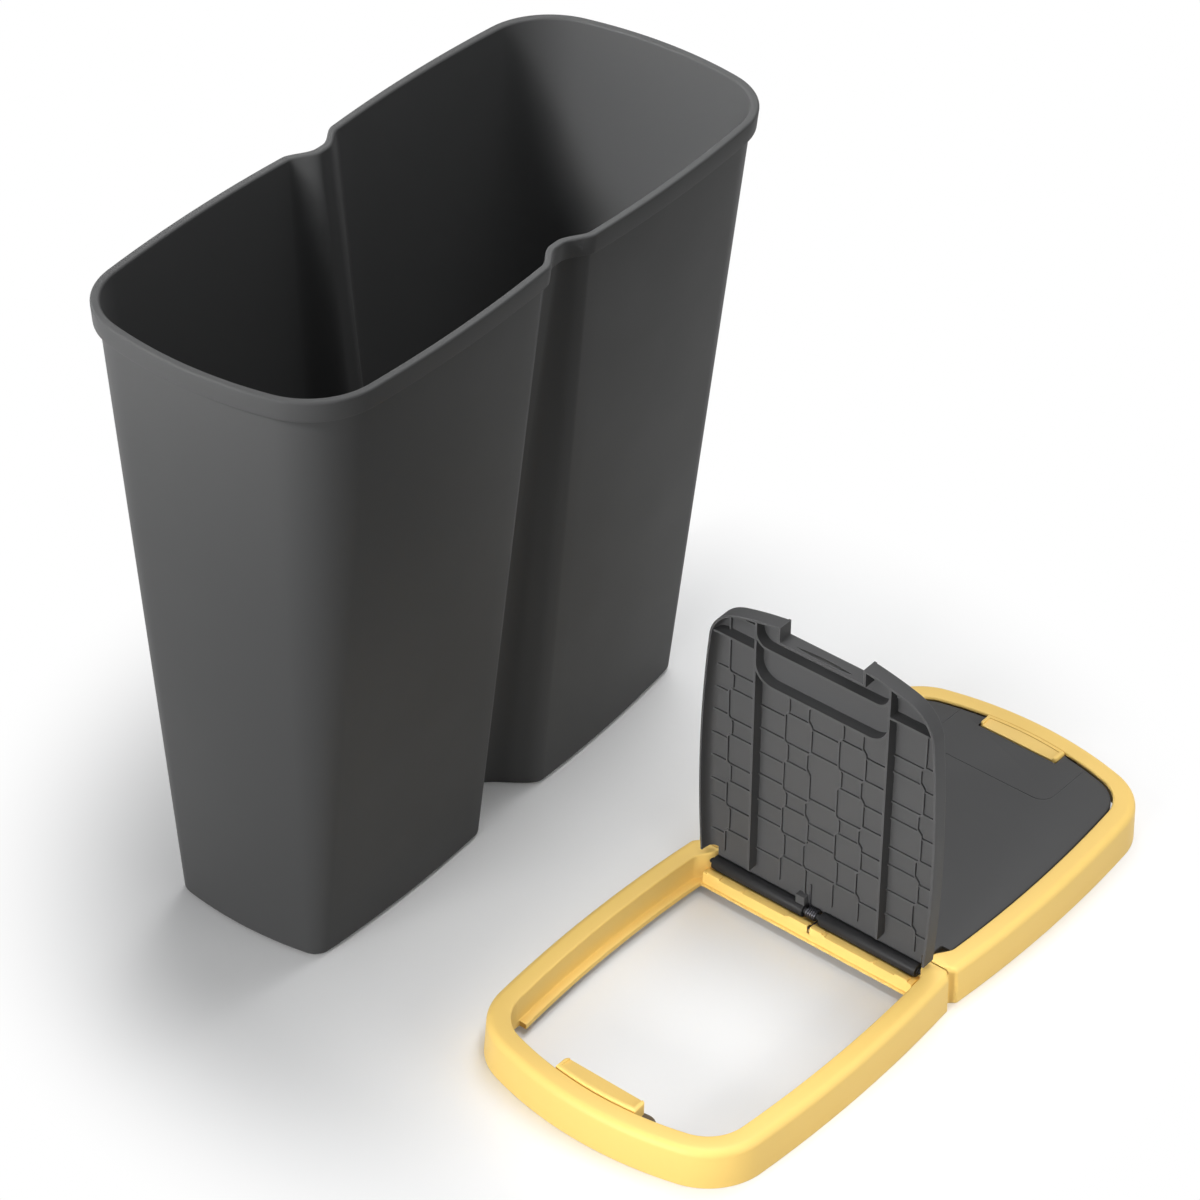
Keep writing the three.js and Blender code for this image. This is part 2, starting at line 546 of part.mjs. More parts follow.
function makeFlap() {
  const plan = flapOutline(FLAP_INSET, 0);
  const tray = cut(
    prism(plan, FLAP_FOOT, FLAP_TOP),
    prism(flapOutline(FLAP_INSET + FLAP_EDGE, -PAST), FLAP_FOOT - PAST, PLATE_UNDER),
  );
  const neckSide = (side) => {
    const y = side > 0 ? [BARREL_END, LID_WIDTH] : [-LID_WIDTH, -BARREL_END];
    return box([-PAST, FLAP_NECK], y, [FLAP_FOOT - PAST, FLAP_TOP + PAST]);
  };

  // recess for the latch paddle, with a wall round it
  const recessX = PADDLE_INNER_X - HINGE_X - PADDLE_GAP;
  const recessY = PADDLE_HALF + PADDLE_GAP;
  const farX = LID_LENGTH / 2;
  const recess = box([recessX, farX], [-recessY, recessY], [FLAP_FOOT - PAST, FLAP_TOP + PAST]);
  const recessBlock = box(
    [recessX - FLAP_EDGE, farX],
    [-recessY - FLAP_EDGE, recessY + FLAP_EDGE],
    [FLAP_FOOT, FLAP_TOP],
  );
  const recessWall = toGeometry(
    toSolid(recessBlock).intersect(toSolid(prism(plan, FLAP_FOOT, FLAP_TOP))),
  );
  const tongueZ = PADDLE_BOTTOM - HINGE_Z;
  const catchSlot = box(
    [recessX - FLAP_EDGE - PAST, recessX + PAST],
    [-TONGUE_HALF - CATCH_GAP, TONGUE_HALF + CATCH_GAP],
    [tongueZ - TONGUE_DROP - CATCH_GAP, tongueZ + CATCH_GAP],
  );

  // ribs under the plate
  const ribZ = [PLATE_UNDER - RIB_HEIGHT, PLATE_UNDER + SUNK];
  const longRib = (side) => {
    const y = side * RIB_Y;
    const x = [RIB_START, FLAP_REACH - RIB_MARGIN];
    return box(x, [y - RIB_THICKNESS / 2, y + RIB_THICKNESS / 2], ribZ);
  };
  const shortRib = (side) => {
    const x = FLAP_REACH - SHORT_RIB_FROM_END;
    const rib = box([x, x + RIB_THICKNESS], [RIB_Y, LID_WIDTH / 2 - FLAP_INSET - RIB_MARGIN], ribZ);
    return side > 0 ? rib : mirrorY(rib);
  };
  const pockets = POCKETS.map((pocket) => cut(
    prism(pocketShape(pocket, -RIB_THICKNESS / 2, recessX), ribZ[0], ribZ[1]),
    prism(pocketShape(pocket, RIB_THICKNESS / 2, recessX + PAST), ribZ[0] - PAST, ribZ[1] + PAST),
  ));

  // hinge barrel, necked down where the spring winds round it, and bored at both ends
  const barrel = join(
    rod(BARREL_RADIUS, -BARREL_END, MANDREL_FROM),
    rod(MANDREL_RADIUS, MANDREL_FROM - SUNK, MANDREL_TO + SUNK),
    rod(BARREL_RADIUS, MANDREL_TO, BARREL_END),
  );
  const knuckle = box(
    [MANDREL_RADIUS, BARREL_RADIUS + KNUCKLE_REACH],
    [MANDREL_FROM - KNUCKLE_LENGTH, MANDREL_FROM],
    [KNUCKLE_FOOT, PLATE_UNDER + SUNK],
  );
  const springWindow = box(
    [-BARREL_RADIUS - PAST, BARREL_RADIUS + SPRING_WINDOW],
    [MANDREL_FROM, MANDREL_TO],
    [-BARREL_RADIUS - PAST, BARREL_RADIUS + PAST],
  );
  const bore = (side) => {
    const ends = [side * (BARREL_END - PIN_DEPTH), side * (BARREL_END + PAST)].sort((a, b) => a - b);
    return rod(PIN_RADIUS + PIN_GAP, ends[0], ends[1], PIN_STEPS);
  };
  const plate = cut(
    join(tray, recessWall),
    recess,
    catchSlot,
    neckSide(1),
    neckSide(-1),
    springWindow,
  );
  const ribs = join(longRib(1), longRib(-1), shortRib(1), shortRib(-1), ...pockets);
  const insideEdge = prism(flapOutline(FLAP_INSET + FLAP_EDGE - SUNK, 0), FLAP_FOOT, FLAP_TOP);
  const trimmedRibs = cut(toGeometry(toSolid(ribs).intersect(toSolid(insideEdge))), recess);
  return cut(join(plate, trimmedRibs, barrel, knuckle), bore(1), bore(-1));
}

function mirrorY(geometry) {
  const mirrored = geometry.clone().scale(1, -1, 1);
  const index = mirrored.index.array;
  for (let i = 0; i < index.length; i += 3) {
    [index[i], index[i + 1]] = [index[i + 1], index[i]];
  }
  return mirrored;
}

// ---------------------------------------------------------------- hinge pin and spring

// A push-in pin with a collar, from the barrel's bore through the frame's inner wall.
function makeHingePin(side) {
  const shank = rod(PIN_RADIUS, BARREL_END - PIN_DEPTH + SEAT_GAP, WALL_AT_HINGE + INNER_WALL, PIN_STEPS);
  const collar = rod(COLLAR_RADIUS, BARREL_END + SEAT_GAP, WALL_AT_HINGE - SEAT_GAP, PIN_STEPS);
  const pin = join(shank, collar);
  return side > 0 ? pin : pin.rotateZ(Math.PI);
}

// The centre line of one wire: a leg that lies under the flap, the coil round the mandrel,
// and a foot that lies in the crossbar's slit. The leg has turned with the flap.
function springLine(legAngle) {
  const turnUp = ([x, z], y) => new THREE.Vector3(
    x * Math.cos(legAngle) - z * Math.sin(legAngle),
    y,
    x * Math.sin(legAngle) + z * Math.cos(legAngle),
  );
  const start = Math.PI / 2 + legAngle;
  const sweep = 2 * Math.PI * COIL_TURNS + 1.5 * Math.PI - start;
  const legY = SPRING_FOOT_Y - (COIL_PITCH * sweep) / (2 * Math.PI);
  const legZ = PLATE_UNDER - SEAT_GAP - WIRE_RADIUS;
  const bendZ = THREE.MathUtils.lerp(legZ, COIL_RADIUS, 0.4);
  const leg = [[SPRING_LEG, legZ], [SPRING_LEG / 2, legZ], [SPRING_LEG / 3, legZ], [SPRING_LEG / 6, bendZ]];
  const points = leg.map((p) => turnUp(p, legY));
  const steps = Math.round((sweep / (2 * Math.PI)) * COIL_STEPS);
  for (let i = 0; i <= steps; i++) {
    const angle = start + (sweep * i) / steps;
    const y = legY + (COIL_PITCH * sweep * i) / (2 * Math.PI * steps);
    points.push(new THREE.Vector3(COIL_RADIUS * Math.cos(angle), y, COIL_RADIUS * Math.sin(angle)));
  }
  for (const share of [0.5, 1]) {
    points.push(new THREE.Vector3(SPRING_FOOT * share, SPRING_FOOT_Y, -COIL_RADIUS));
  }
  return points;
}

// The least gap between two turns of the wire, measured on its centre line.
function leastGap(points) {
  const apart = Math.round(COIL_STEPS / 2);
  let least = Infinity;
  for (let i = 0; i < points.length; i++) {
    for (let j = i + apart; j < points.length; j++) {
      least = Math.min(least, points[i].distanceTo(points[j]));
    }
  }
  return least - 2 * WIRE_RADIUS;
}

function makeSpring(legAngle) {
  const line = new THREE.CatmullRomCurve3(springLine(legAngle), false, "centripetal");
  const turn = Math.hypot(2 * Math.PI * COIL_RADIUS, COIL_PITCH);
  const steps = Math.round((line.getLength() / turn) * COIL_STEPS);
  console.log(`spring: least gap between turns ${leastGap(line.getSpacedPoints(steps)).toFixed(2)} mm`);
  const wire = new THREE.Shape();
  wire.absarc(0, 0, WIRE_RADIUS, 0, 2 * Math.PI, false);
  return new THREE.ExtrudeGeometry(wire, { steps, curveSegments: 5, extrudePath: line, bevelEnabled: false });
}

// ---------------------------------------------------------------- latch
// Paddle and bracket are bowed like the end of the lid, about the same centre.

// A band bowed about the latch centre, with round or square ends.
function bowedBand(inner, outer, halfWidth, roundEnds) {
  const half = Math.asin(halfWidth / outer);
  const shape = new THREE.Shape();
  shape.absarc(LATCH_CENTRE_X, 0, outer, -half, half, false);
  const middle = (inner + outer) / 2;
  const radius = (outer - inner) / 2;
  const endAt = (angle) => [LATCH_CENTRE_X + middle * Math.cos(angle), middle * Math.sin(angle)];
  if (roundEnds) {
    shape.absarc(...endAt(half), radius, half, half + Math.PI, false);
  }
  shape.absarc(LATCH_CENTRE_X, 0, inner, half, -half, true);
  if (roundEnds) {
    shape.absarc(...endAt(-half), radius, -half + Math.PI, -half + 2 * Math.PI, false);
  }
  shape.closePath();
  return shape;
}

// The paddle's plan: bowed towards the frame, straight with round corners towards the flap.
function paddleShape(inset) {
  const x = PADDLE_INNER_X + inset;
  const y = PADDLE_HALF - inset;
  const outer = RING_EDGE_RADIUS - PADDLE_GAP - inset;
  const half = Math.asin(y / outer);
  const shape = new THREE.Shape();
  shape.absarc(LATCH_CENTRE_X, 0, outer, -half, half, false);
  shape.absarc(x + PADDLE_CORNER, y - PADDLE_CORNER, PADDLE_CORNER, Math.PI / 2, Math.PI, false);
  shape.absarc(x + PADDLE_CORNER, PADDLE_CORNER - y, PADDLE_CORNER, Math.PI, 1.5 * Math.PI, false);
  shape.closePath();
  return shape;
}

function makePaddle() {
  const body = prism(paddleShape(0), PADDLE_BOTTOM, PADDLE_TOP);
  const dish = prism(paddleShape(DISH_MARGIN), PADDLE_TOP - DISH_DEPTH, PADDLE_TOP + PAST);
  const tongue = box(
    [PADDLE_INNER_X - PADDLE_GAP + SEAT_GAP, PADDLE_INNER_X + TONGUE_ROOT],
    [-TONGUE_HALF, TONGUE_HALF],
    [PADDLE_BOTTOM - TONGUE_DROP, PADDLE_BOTTOM + SUNK],
  );
  return join(cut(body, dish), tongue);
}

function makeBracket() {
  const outer = RING_EDGE_RADIUS + SEAT_GAP + BRACKET_WALL;
  const plan = bowedBand(outer - BRACKET_WIDTH, outer, BRACKET_HALF, true);
  const shelf = prism(plan, BRACKET_BOTTOM, BRACKET_TOP);
  const riser = prism(
    bowedBand(outer - BRACKET_WALL, outer, BRACKET_HALF, false), BRACKET_BOTTOM, LID_HEIGHT - WEB - SEAT_GAP);
  const post = (side) => box(
    [PADDLE_PIVOT_X - POST_DEPTH, PADDLE_PIVOT_X],
    [side * TONGUE_HALF - POST_WIDTH / 2, side * TONGUE_HALF + POST_WIDTH / 2],
    [BRACKET_TOP - SUNK, PADDLE_BOTTOM - POST_GAP],
  );
  return join(shelf, riser, post(1), post(-1));
}

// ---------------------------------------------------------------- assembly

const object = new THREE.Group();

function place(parent, name, geometry, material) {
  const mesh = new THREE.Mesh(geometry, material);
  mesh.name = name;
  parent.add(mesh);
  return mesh;
}

place(object, "bin_tub", makeBin(), GRAPHITE);

const lid = new THREE.Group();
lid.position.set(LID_X, LID_Y, 0);
lid.rotation.z = THREE.MathUtils.degToRad(LID_TURN);
object.add(lid);
place(lid, "lid_frame", makeLidFrame(), YELLOW);

const SIDES = [
  { name: "left", turn: Math.PI, open: OPEN_ANGLE },
  { name: "right", turn: 0, open: 0 },
];

for (const side of SIDES) {
  const half = new THREE.Group();
  half.rotation.z = side.turn;
  lid.add(half);

  const hinge = new THREE.Group();
  hinge.position.set(HINGE_X, 0, HINGE_Z);
  half.add(hinge);
  place(hinge, `hinge_pin_${side.name}_a`, makeHingePin(1), BLACK);
  place(hinge, `hinge_pin_${side.name}_b`, makeHingePin(-1), BLACK);

  const swing = new THREE.Group();
  swing.rotation.y = -THREE.MathUtils.degToRad(side.open);
  hinge.add(swing);
  place(swing, `flap_${side.name}`, makeFlap(), FLAP_GREY);
  place(hinge, `hinge_spring_${side.name}`, makeSpring(THREE.MathUtils.degToRad(side.open)), STEEL);
  place(half, `latch_paddle_${side.name}`, makePaddle(), YELLOW);
  place(half, `latch_bracket_${side.name}`, makeBracket(), BROWN);
}

export default object;
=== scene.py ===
"""A slim waisted bin and, on the floor beside it, its yellow lid with two sprung flaps.

Shapes are drawn in millimetres, each in its own part's plan, and placed in metres.
"""

import math

import bmesh
import bpy
from mathutils import Matrix, Vector


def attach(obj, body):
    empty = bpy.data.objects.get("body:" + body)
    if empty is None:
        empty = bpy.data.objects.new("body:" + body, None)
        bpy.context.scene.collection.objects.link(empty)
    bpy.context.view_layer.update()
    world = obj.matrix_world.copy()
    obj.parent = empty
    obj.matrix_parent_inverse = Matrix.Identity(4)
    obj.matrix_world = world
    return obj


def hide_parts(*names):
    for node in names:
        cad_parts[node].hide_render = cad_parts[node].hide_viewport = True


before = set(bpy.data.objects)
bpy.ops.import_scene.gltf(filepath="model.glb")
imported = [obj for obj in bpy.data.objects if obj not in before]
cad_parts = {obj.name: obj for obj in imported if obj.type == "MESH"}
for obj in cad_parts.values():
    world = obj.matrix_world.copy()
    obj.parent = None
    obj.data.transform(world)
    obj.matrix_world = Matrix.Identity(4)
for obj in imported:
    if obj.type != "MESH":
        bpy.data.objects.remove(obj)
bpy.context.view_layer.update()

MM = 0.001

# ------------------------------------------------------------------ sizes of the real parts

BIN_LENGTH, BIN_WIDTH, BIN_HEIGHT = 545, 237.7, 510  # over the rim
BASE_LENGTH, BASE_WIDTH = 452, 144
BIN_WALL = 2.2
BIN_FLOOR = 3
BASE_EDGE = 5  # rounding round the foot
FOOT_WIDTH = 6.5  # the ring that the bin stands on
FOOT_HEIGHT = 1.2
RIM_OVERHANG = 4.4
RIM_HEIGHT = 16
RIM_WALL = 2.2
RIM_ROUND = 2.1
RIM_FOOT_ROUND, RIM_FOOT_BEVEL = 0.7, 0.4
RIM_CORNER, BASE_CORNER = 60, 14
END_BOW, SIDE_BOW = 305, 1175  # radii of the bowed ends and sides
BOW_CENTRE = 0.4  # where each side's bow is widest, in half lengths from the middle
RIM_GROOVE = (11, 28, 3)  # a groove's depth, and half its width at the mouth and the floor
BASE_GROOVE = (35, 42, 7)

LID_LENGTH, LID_WIDTH, LID_HEIGHT = 559, 244.8, 32
LID_CORNER, LID_END_BOW = 52, 283
SKIRT_WALL, SKIRT_DRAFT = 2, 1.2
SHOULDER = 6  # radius between skirt and top
WEB = 2.2  # thickness of the top
RING_WIDTH = 18
INNER_WALL, INNER_ROUND = 2, 1.4
LEDGE_WIDTH, LEDGE_TOP, LEDGE_BOTTOM = 6.5, 11, 6.5
NECK_GROOVE = (8.6, 22, 3)
SKIRT_NOTCH = (5, 6.5, 0.4)  # the notch in the skirt, where the lid's two halves meet
TOP_NOTCH_DEPTH, TOP_NOTCH_HALF = 1.5, 3.5
LATCH_GAP_HALF, LATCH_GAP_DEPTH = 98, 58  # where wall and ledge are left out at a latch
SPLIT_HALF, SPLIT_DEPTH = 0.6, 5  # the slit across the top of each long side
SPLIT_YS = (LID_WIDTH / 2 - 29, LID_WIDTH / 2 - 9.5)

HINGE_X, HINGE_Z = 7.5, 24.5
BARREL_RADIUS = 5.5
BARREL_PLAY = 1.6  # from the barrel's end to the frame
BARREL_GAP = 0.6  # round the barrel, in its trough
BAR_HALF, BAR_TOP, BAR_BOTTOM, BAR_WALL, BAR_STEP = 19, 20, 9, 2, 2
CREST_Z = 26  # of the ridge between the two troughs
PIN_BORE, PIN_DEPTH = 2.3, 6
SPRING_GAP = (-9, 6)  # where the barrel is left out round the spring, along y
SPRING_Y, SLIT_HALF = 2.5, 1.2  # the spring's foot and its slit in the crossbar

FLAP_TOP = BARREL_RADIUS  # above the hinge axis
FLAP_FOOT = FLAP_TOP - 12.7
PLATE_UNDER = FLAP_TOP - 2.2
FLAP_EDGE = 2
FLAP_INSET = RING_WIDTH + 1.3
FLAP_ROUND = 1.3
FLAP_NECK = 12.5  # the flap is as narrow as its barrel up to here
FLAP_REACH = LID_LENGTH / 2 - FLAP_INSET - HINGE_X
RIB_Y, RIB_THICKNESS, RIB_FOOT = 57.5, 1.8, PLATE_UNDER - 9
RIB_START, RIB_END = 14, FLAP_REACH - 8
SHORT_RIB_X, SHORT_RIB_END = FLAP_REACH - 35, 95.2
POCKETS = [(60, 16), (28, 11)]  # U ribs: distance from the flap's end, corner radius
PRESSED_X, PRESSED_CORNER, PRESSED_HALF = 201 - HINGE_X, 12, 57
PRESSED_WIDTH, PRESSED_DEPTH = 0.9, 0.35

PADDLE_HALF, PADDLE_DEPTH = 35, 15.5
PADDLE_TOP, PADDLE_BOTTOM = 33, 22
PADDLE_GAP = 0.7
PADDLE_INNER = LID_LENGTH / 2 - RING_WIDTH - PADDLE_DEPTH
PADDLE_CORNER, PADDLE_ROUND = 3.5, 1.5
DISH_SIDE_RIM, DISH_BACK_RIM, DISH_DEPTH, DISH_FALL = 3, 3.2, 0.5, 1.7
TONGUE_HALF = 24
SHELF_ROUND, SHELF_THICKNESS, SHELF_HALF = 10, 6, 37
RISER_THICKNESS, RISER_HALF = 2, 46
BOW_X = LID_LENGTH / 2 - LID_END_BOW  # centre of the lid's end bow
RING_EDGE = LID_END_BOW - RING_WIDTH  # radius of the ring's inner edge there

# ------------------------------------------------------------------ where the parts are

METRES = Matrix.Scale(MM, 4)
TUB = METRES
LID_MIDDLE, LID_TURN = (22.9, -334.6, 0), math.radians(-3.2)
LID = METRES @ Matrix.Translation(LID_MIDDLE) @ Matrix.Rotation(LID_TURN, 4, "Z")
HALF_TURN = Matrix.Rotation(math.pi, 4, "Z")
HALVES = {"left": LID @ HALF_TURN, "right": LID}
HINGE = Matrix.Translation((HINGE_X, 0, HINGE_Z))
OPENED = {"left": math.radians(88), "right": 0.0}


def flap_place(side):
    """Where a flap is as shown: the left one open, the right one shut."""
    return HALVES[side] @ HINGE @ Matrix.Rotation(-OPENED[side], 4, "Y")


# ------------------------------------------------------------------ plan outlines

END_STEPS, CORNER_STEPS, SIDE_STEPS, WAIST_STEPS = 9, 16, 12, 22


def smoothstep(x, low, high):
    t = min(1.0, max(0.0, (x - low) / (high - low)))
    return t * t * (3 - 2 * t)


def mix(a, b, share):
    return a + (b - a) * share


def arc(centre, radius, start, end, steps):
    """Points of an arc, both ends included."""
    angles = [mix(start, end, i / steps) for i in range(steps + 1)]
    return [Vector((centre[0] + radius * math.cos(a), centre[1] + radius * math.sin(a)))
            for a in angles]


def quarter(length, width, end_bow, side_bow, corner, groove):
    """From the middle of the +X end to the waist: a bowed end, a round corner, a bowed side."""
    depth, mouth, floor = groove
    end_centre = Vector((length / 2 - end_bow, 0))
    side_centre = Vector((BOW_CENTRE * length / 2, width / 2 - side_bow))
    to_end, to_side = end_bow - corner, side_bow - corner
    line = side_centre - end_centre
    span = line.length
    along = (to_end ** 2 - to_side ** 2 + span ** 2) / (2 * span)
    across = math.sqrt(to_end ** 2 - along ** 2)
    unit = line / span
    centre = end_centre + unit * along + Vector((-unit.y, unit.x)) * across
    end_angle = math.atan2(centre.y - end_centre.y, centre.x - end_centre.x)
    side_angle = math.atan2(centre.y - side_centre.y, centre.x - side_centre.x)
    points = arc(end_centre, end_bow, 0, end_angle, END_STEPS)
    points += arc(centre, corner, end_angle, side_angle, CORNER_STEPS)[1:]

    def side_y(x):
        return side_centre.y + math.sqrt(side_bow ** 2 - (x - side_centre.x) ** 2)

    waist_y = side_y(mouth) - depth
    tangent_x = points[-1].x
    for i in range(1, SIDE_STEPS):
        x = mix(tangent_x, mouth, i / SIDE_STEPS)
        points.append(Vector((x, side_y(x))))
    for i in range(WAIST_STEPS, -1, -1):
        x = mouth * i / WAIST_STEPS
        points.append(Vector((x, mix(waist_y, side_y(x), smoothstep(x, floor, mouth)))))
    return points


def whole(points):
    """The quarter mirrored all round, anticlockwise."""
    back = points[:-1][::-1]
    turned = [(points, 1, 1), (back, -1, 1), (points[1:], -1, -1), (back[:-1], 1, -1)]
    return [Vector((p.x * sx, p.y * sy)) for part, sx, sy in turned for p in part]


def raised(points, z):
    return [Vector((p.x, p.y, z)) for p in points]


def shoulder(radius, top, steps):
    """A rounding from an upright side to a flat top, as (inset, height)."""
    angles = [math.pi / 2 * i / steps for i in range(steps + 1)]
    return [(radius * (1 - math.cos(a)), top - radius * (1 - math.sin(a))) for a in angles]


def bin_ring(z, inset):
    share = z / BIN_HEIGHT
    points = quarter(
        mix(BASE_LENGTH, BIN_LENGTH - 2 * RIM_OVERHANG, share) - 2 * inset,
        mix(BASE_WIDTH, BIN_WIDTH - 2 * RIM_OVERHANG, share) - 2 * inset,
        END_BOW - inset, SIDE_BOW - inset,
        mix(BASE_CORNER, RIM_CORNER - RIM_OVERHANG, share) - inset,
        [mix(a, b, share) for a, b in zip(BASE_GROOVE, RIM_GROOVE)])
    return raised(whole(points), z)


def lid_quarter(inset, groove):
    return quarter(LID_LENGTH - 2 * inset, LID_WIDTH - 2 * inset, LID_END_BOW - inset,
                   SIDE_BOW - inset, LID_CORNER - inset, groove)


def lid_ring(inset, z, groove, valley=0.0):
    """The lid's plan at a height, with a shallow valley across its middle."""
    return [Vector((p.x, p.y, z - valley * (1 - smoothstep(abs(p.x), 0, TOP_NOTCH_HALF))))
            for p in whole(lid_quarter(inset, groove))]


WALL_AT_HINGE = lid_quarter(RING_WIDTH, NECK_GROOVE)[-1].y
BARREL_END = WALL_AT_HINGE - BARREL_PLAY


def flap_outline(inset, from_x):
    """The flap's plan from the hinge outwards, x from the hinge axis."""
    points = [Vector((p.x - HINGE_X, p.y)) for p in lid_quarter(inset, (0, RIM_GROOVE[1], 0))]
    upper = [p for p in points if p.x > from_x]
    upper.append(Vector((from_x, upper[-1].y)))
    return upper + [Vector((p.x, -p.y)) for p in upper[:0:-1]]


def bowed_band(inner, outer, half_width):
    """A band that follows the lid's bowed end."""
    half = math.asin(half_width / outer)
    return (arc((BOW_X, 0), outer, -half, half, 24)
            + arc((BOW_X, 0), inner, half, -half, 24))


def inner_corners(x, half_width, corner, steps):
    """The two round corners of an end that faces the hinge, from +Y to -Y."""
    return (arc((x + corner, half_width - corner), corner, math.pi / 2, math.pi, steps)
            + arc((x + corner, corner - half_width), corner, math.pi, 1.5 * math.pi, steps))


# ------------------------------------------------------------------ making shapes

SAME_POINT = 1e-4  # closer points are one point
SAME_AFTER_CUT = 1e-3  # the same, where shapes were joined or cut


def new_verts(made):
    """The new points in what an extrusion returns."""
    return [e for e in made["geom"] if isinstance(e, bmesh.types.BMVert)]


def loft(rings, is_loop=False):
    """Draws the first ring and extrudes it to each of the others. An open stack is capped."""
    bm = bmesh.new()
    verts = [bm.verts.new(p) for p in rings[0]]
    edges = [bm.edges.new(pair) for pair in zip(verts, verts[1:] + verts[:1])]
    if not is_loop:
        bmesh.ops.contextual_create(bm, geom=edges)
    for ring in rings[1:] + (rings[:1] if is_loop else []):
        made = bmesh.ops.extrude_edge_only(bm, edges=edges)
        fresh = set(new_verts(made))
        verts = [next(e.other_vert(v) for e in v.link_edges if e.other_vert(v) in fresh)
                 for v in verts]
        for vert, place in zip(verts, ring):
            vert.co = place
        edges = [e for e in made["geom"] if isinstance(e, bmesh.types.BMEdge)
                 and e.verts[0] in fresh and e.verts[1] in fresh]
    if is_loop:
        bmesh.ops.remove_doubles(bm, verts=bm.verts, dist=SAME_POINT)
    else:
        bmesh.ops.contextual_create(bm, geom=edges)
    bmesh.ops.recalc_face_normals(bm, faces=bm.faces)
    return bm


def prism(outline, z0, z1):
    """A plan outline stood up from z0 to z1."""
    bm = bmesh.new()
    face = bm.faces.new([bm.verts.new((p[0], p[1], z0)) for p in outline])
    made = bmesh.ops.extrude_face_region(bm, geom=[face])
    bmesh.ops.translate(bm, verts=new_verts(made), vec=(0, 0, z1 - z0))
    bmesh.ops.recalc_face_normals(bm, faces=bm.faces)
    return bm


def beam(section, y0, y1):
    """A section given in x and z, run along y."""
    bm = prism([(x, z) for x, z in section], 0, y1 - y0)
    bmesh.ops.rotate(bm, verts=bm.verts, matrix=Matrix.Rotation(math.pi / 2, 3, "X"))
    bmesh.ops.translate(bm, verts=bm.verts, vec=(0, y1, 0))
    return bm


def box(xs, ys, zs):
    bm = bmesh.new()
    bmesh.ops.create_cube(bm, size=1)
    size = [b - a for a, b in (xs, ys, zs)]
    centre = [(a + b) / 2 for a, b in (xs, ys, zs)]
    bmesh.ops.scale(bm, verts=bm.verts, vec=size)
    bmesh.ops.translate(bm, verts=bm.verts, vec=centre)
    return bm


def rod(radius, y0, y1, steps=40):
    """A round bar along y."""
    bm = bmesh.new()
    bmesh.ops.create_cone(bm, cap_ends=True, segments=steps, radius1=radius, radius2=radius,
                          depth=y1 - y0)
    bmesh.ops.rotate(bm, verts=bm.verts, matrix=Matrix.Rotation(math.pi / 2, 3, "X"))
    bmesh.ops.translate(bm, verts=bm.verts, vec=(0, (y0 + y1) / 2, 0))
    return bm


def wall(path, thickness, z0, z1):
    """A thin upright wall along a path in plan."""
    sides = []
    for i, p in enumerate(path):
        before, after = path[max(i - 1, 0)], path[min(i + 1, len(path) - 1)]
        way = (Vector(after) - Vector(before)).normalized()
        offset = Vector((-way.y, way.x)) * thickness / 2
        sides.append((Vector(p) + offset, Vector(p) - offset))
    return prism([a for a, _ in sides] + [b for _, b in reversed(sides)], z0, z1)


def ease(bm, width, steps=2, least=35):
    """Rounds every edge sharper than an angle."""
    sharp = [e for e in bm.edges
             if len(e.link_faces) == 2 and e.calc_face_angle() > math.radians(least)]
    bmesh.ops.bevel(bm, geom=sharp, offset=width, offset_type="OFFSET", affect="EDGES",
                    segments=steps, profile=0.5, material=-1, clamp_overlap=True)
    return bm


def gather(shapes):
    """Several shapes in one, as they are."""
    out = bmesh.new()
    for bm in shapes:
        carried = bpy.data.meshes.new("carried")
        bm.to_mesh(carried)
        out.from_mesh(carried)
        bpy.data.meshes.remove(carried)
        bm.free()
    return out


def turned(bm, matrix):
    bmesh.ops.transform(bm, matrix=matrix, verts=bm.verts)
    return bm


def both_ends(make):
    """The same shape at the +X and the -X side."""
    return [make(), turned(make(), HALF_TURN)]


def work(bm, operation, tools):
    """Joins shapes to a body or cuts them from it, and returns the new body."""
    objects = []
    for name, shape in (("body", bm), ("tool", gather(tools))):
        mesh = bpy.data.meshes.new(name)
        shape.to_mesh(mesh)
        shape.free()
        objects.append(bpy.data.objects.new(name, mesh))
        bpy.context.scene.collection.objects.link(objects[-1])
    modifier = objects[0].modifiers.new("work", "BOOLEAN")
    modifier.operation = operation
    modifier.object = objects[1]
    modifier.solver = "EXACT"
    modifier.use_self = True
    out = bmesh.new()
    out.from_object(objects[0], bpy.context.evaluated_depsgraph_get())
    for obj in objects:
        mesh = obj.data
        bpy.data.objects.remove(obj)
        bpy.data.meshes.remove(mesh)
    bmesh.ops.remove_doubles(out, verts=out.verts, dist=SAME_AFTER_CUT)
    bmesh.ops.dissolve_degenerate(out, dist=SAME_AFTER_CUT, edges=out.edges)
    return out


def join(bm, *tools):
    return work(bm, "UNION", tools)


def cut(bm, *tools):
    return work(bm, "DIFFERENCE", tools)


def piece(bm, name, body, material, place, stands_for=(), smooth=32, second=None):
    """Puts a finished shape in its place and lets it ride on its body.

    Edges sharper than the angle smooth stay crisp. The second material is for the faces that
    have the index 1.
    """
    turned(bm, place)
    mesh = bpy.data.meshes.new(name)
    bm.to_mesh(mesh)
    bm.free()
    for finish in (material, second):
        if finish:
            mesh.materials.append(finish)
    mesh.shade_smooth()
    mesh.set_sharp_from_angle(angle=math.radians(smooth))
    obj = bpy.data.objects.new(name, mesh)
    bpy.context.scene.collection.objects.link(obj)
    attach(obj, body)
    if stands_for:
        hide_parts(*stands_for)
    return obj


# ------------------------------------------------------------------ finishes

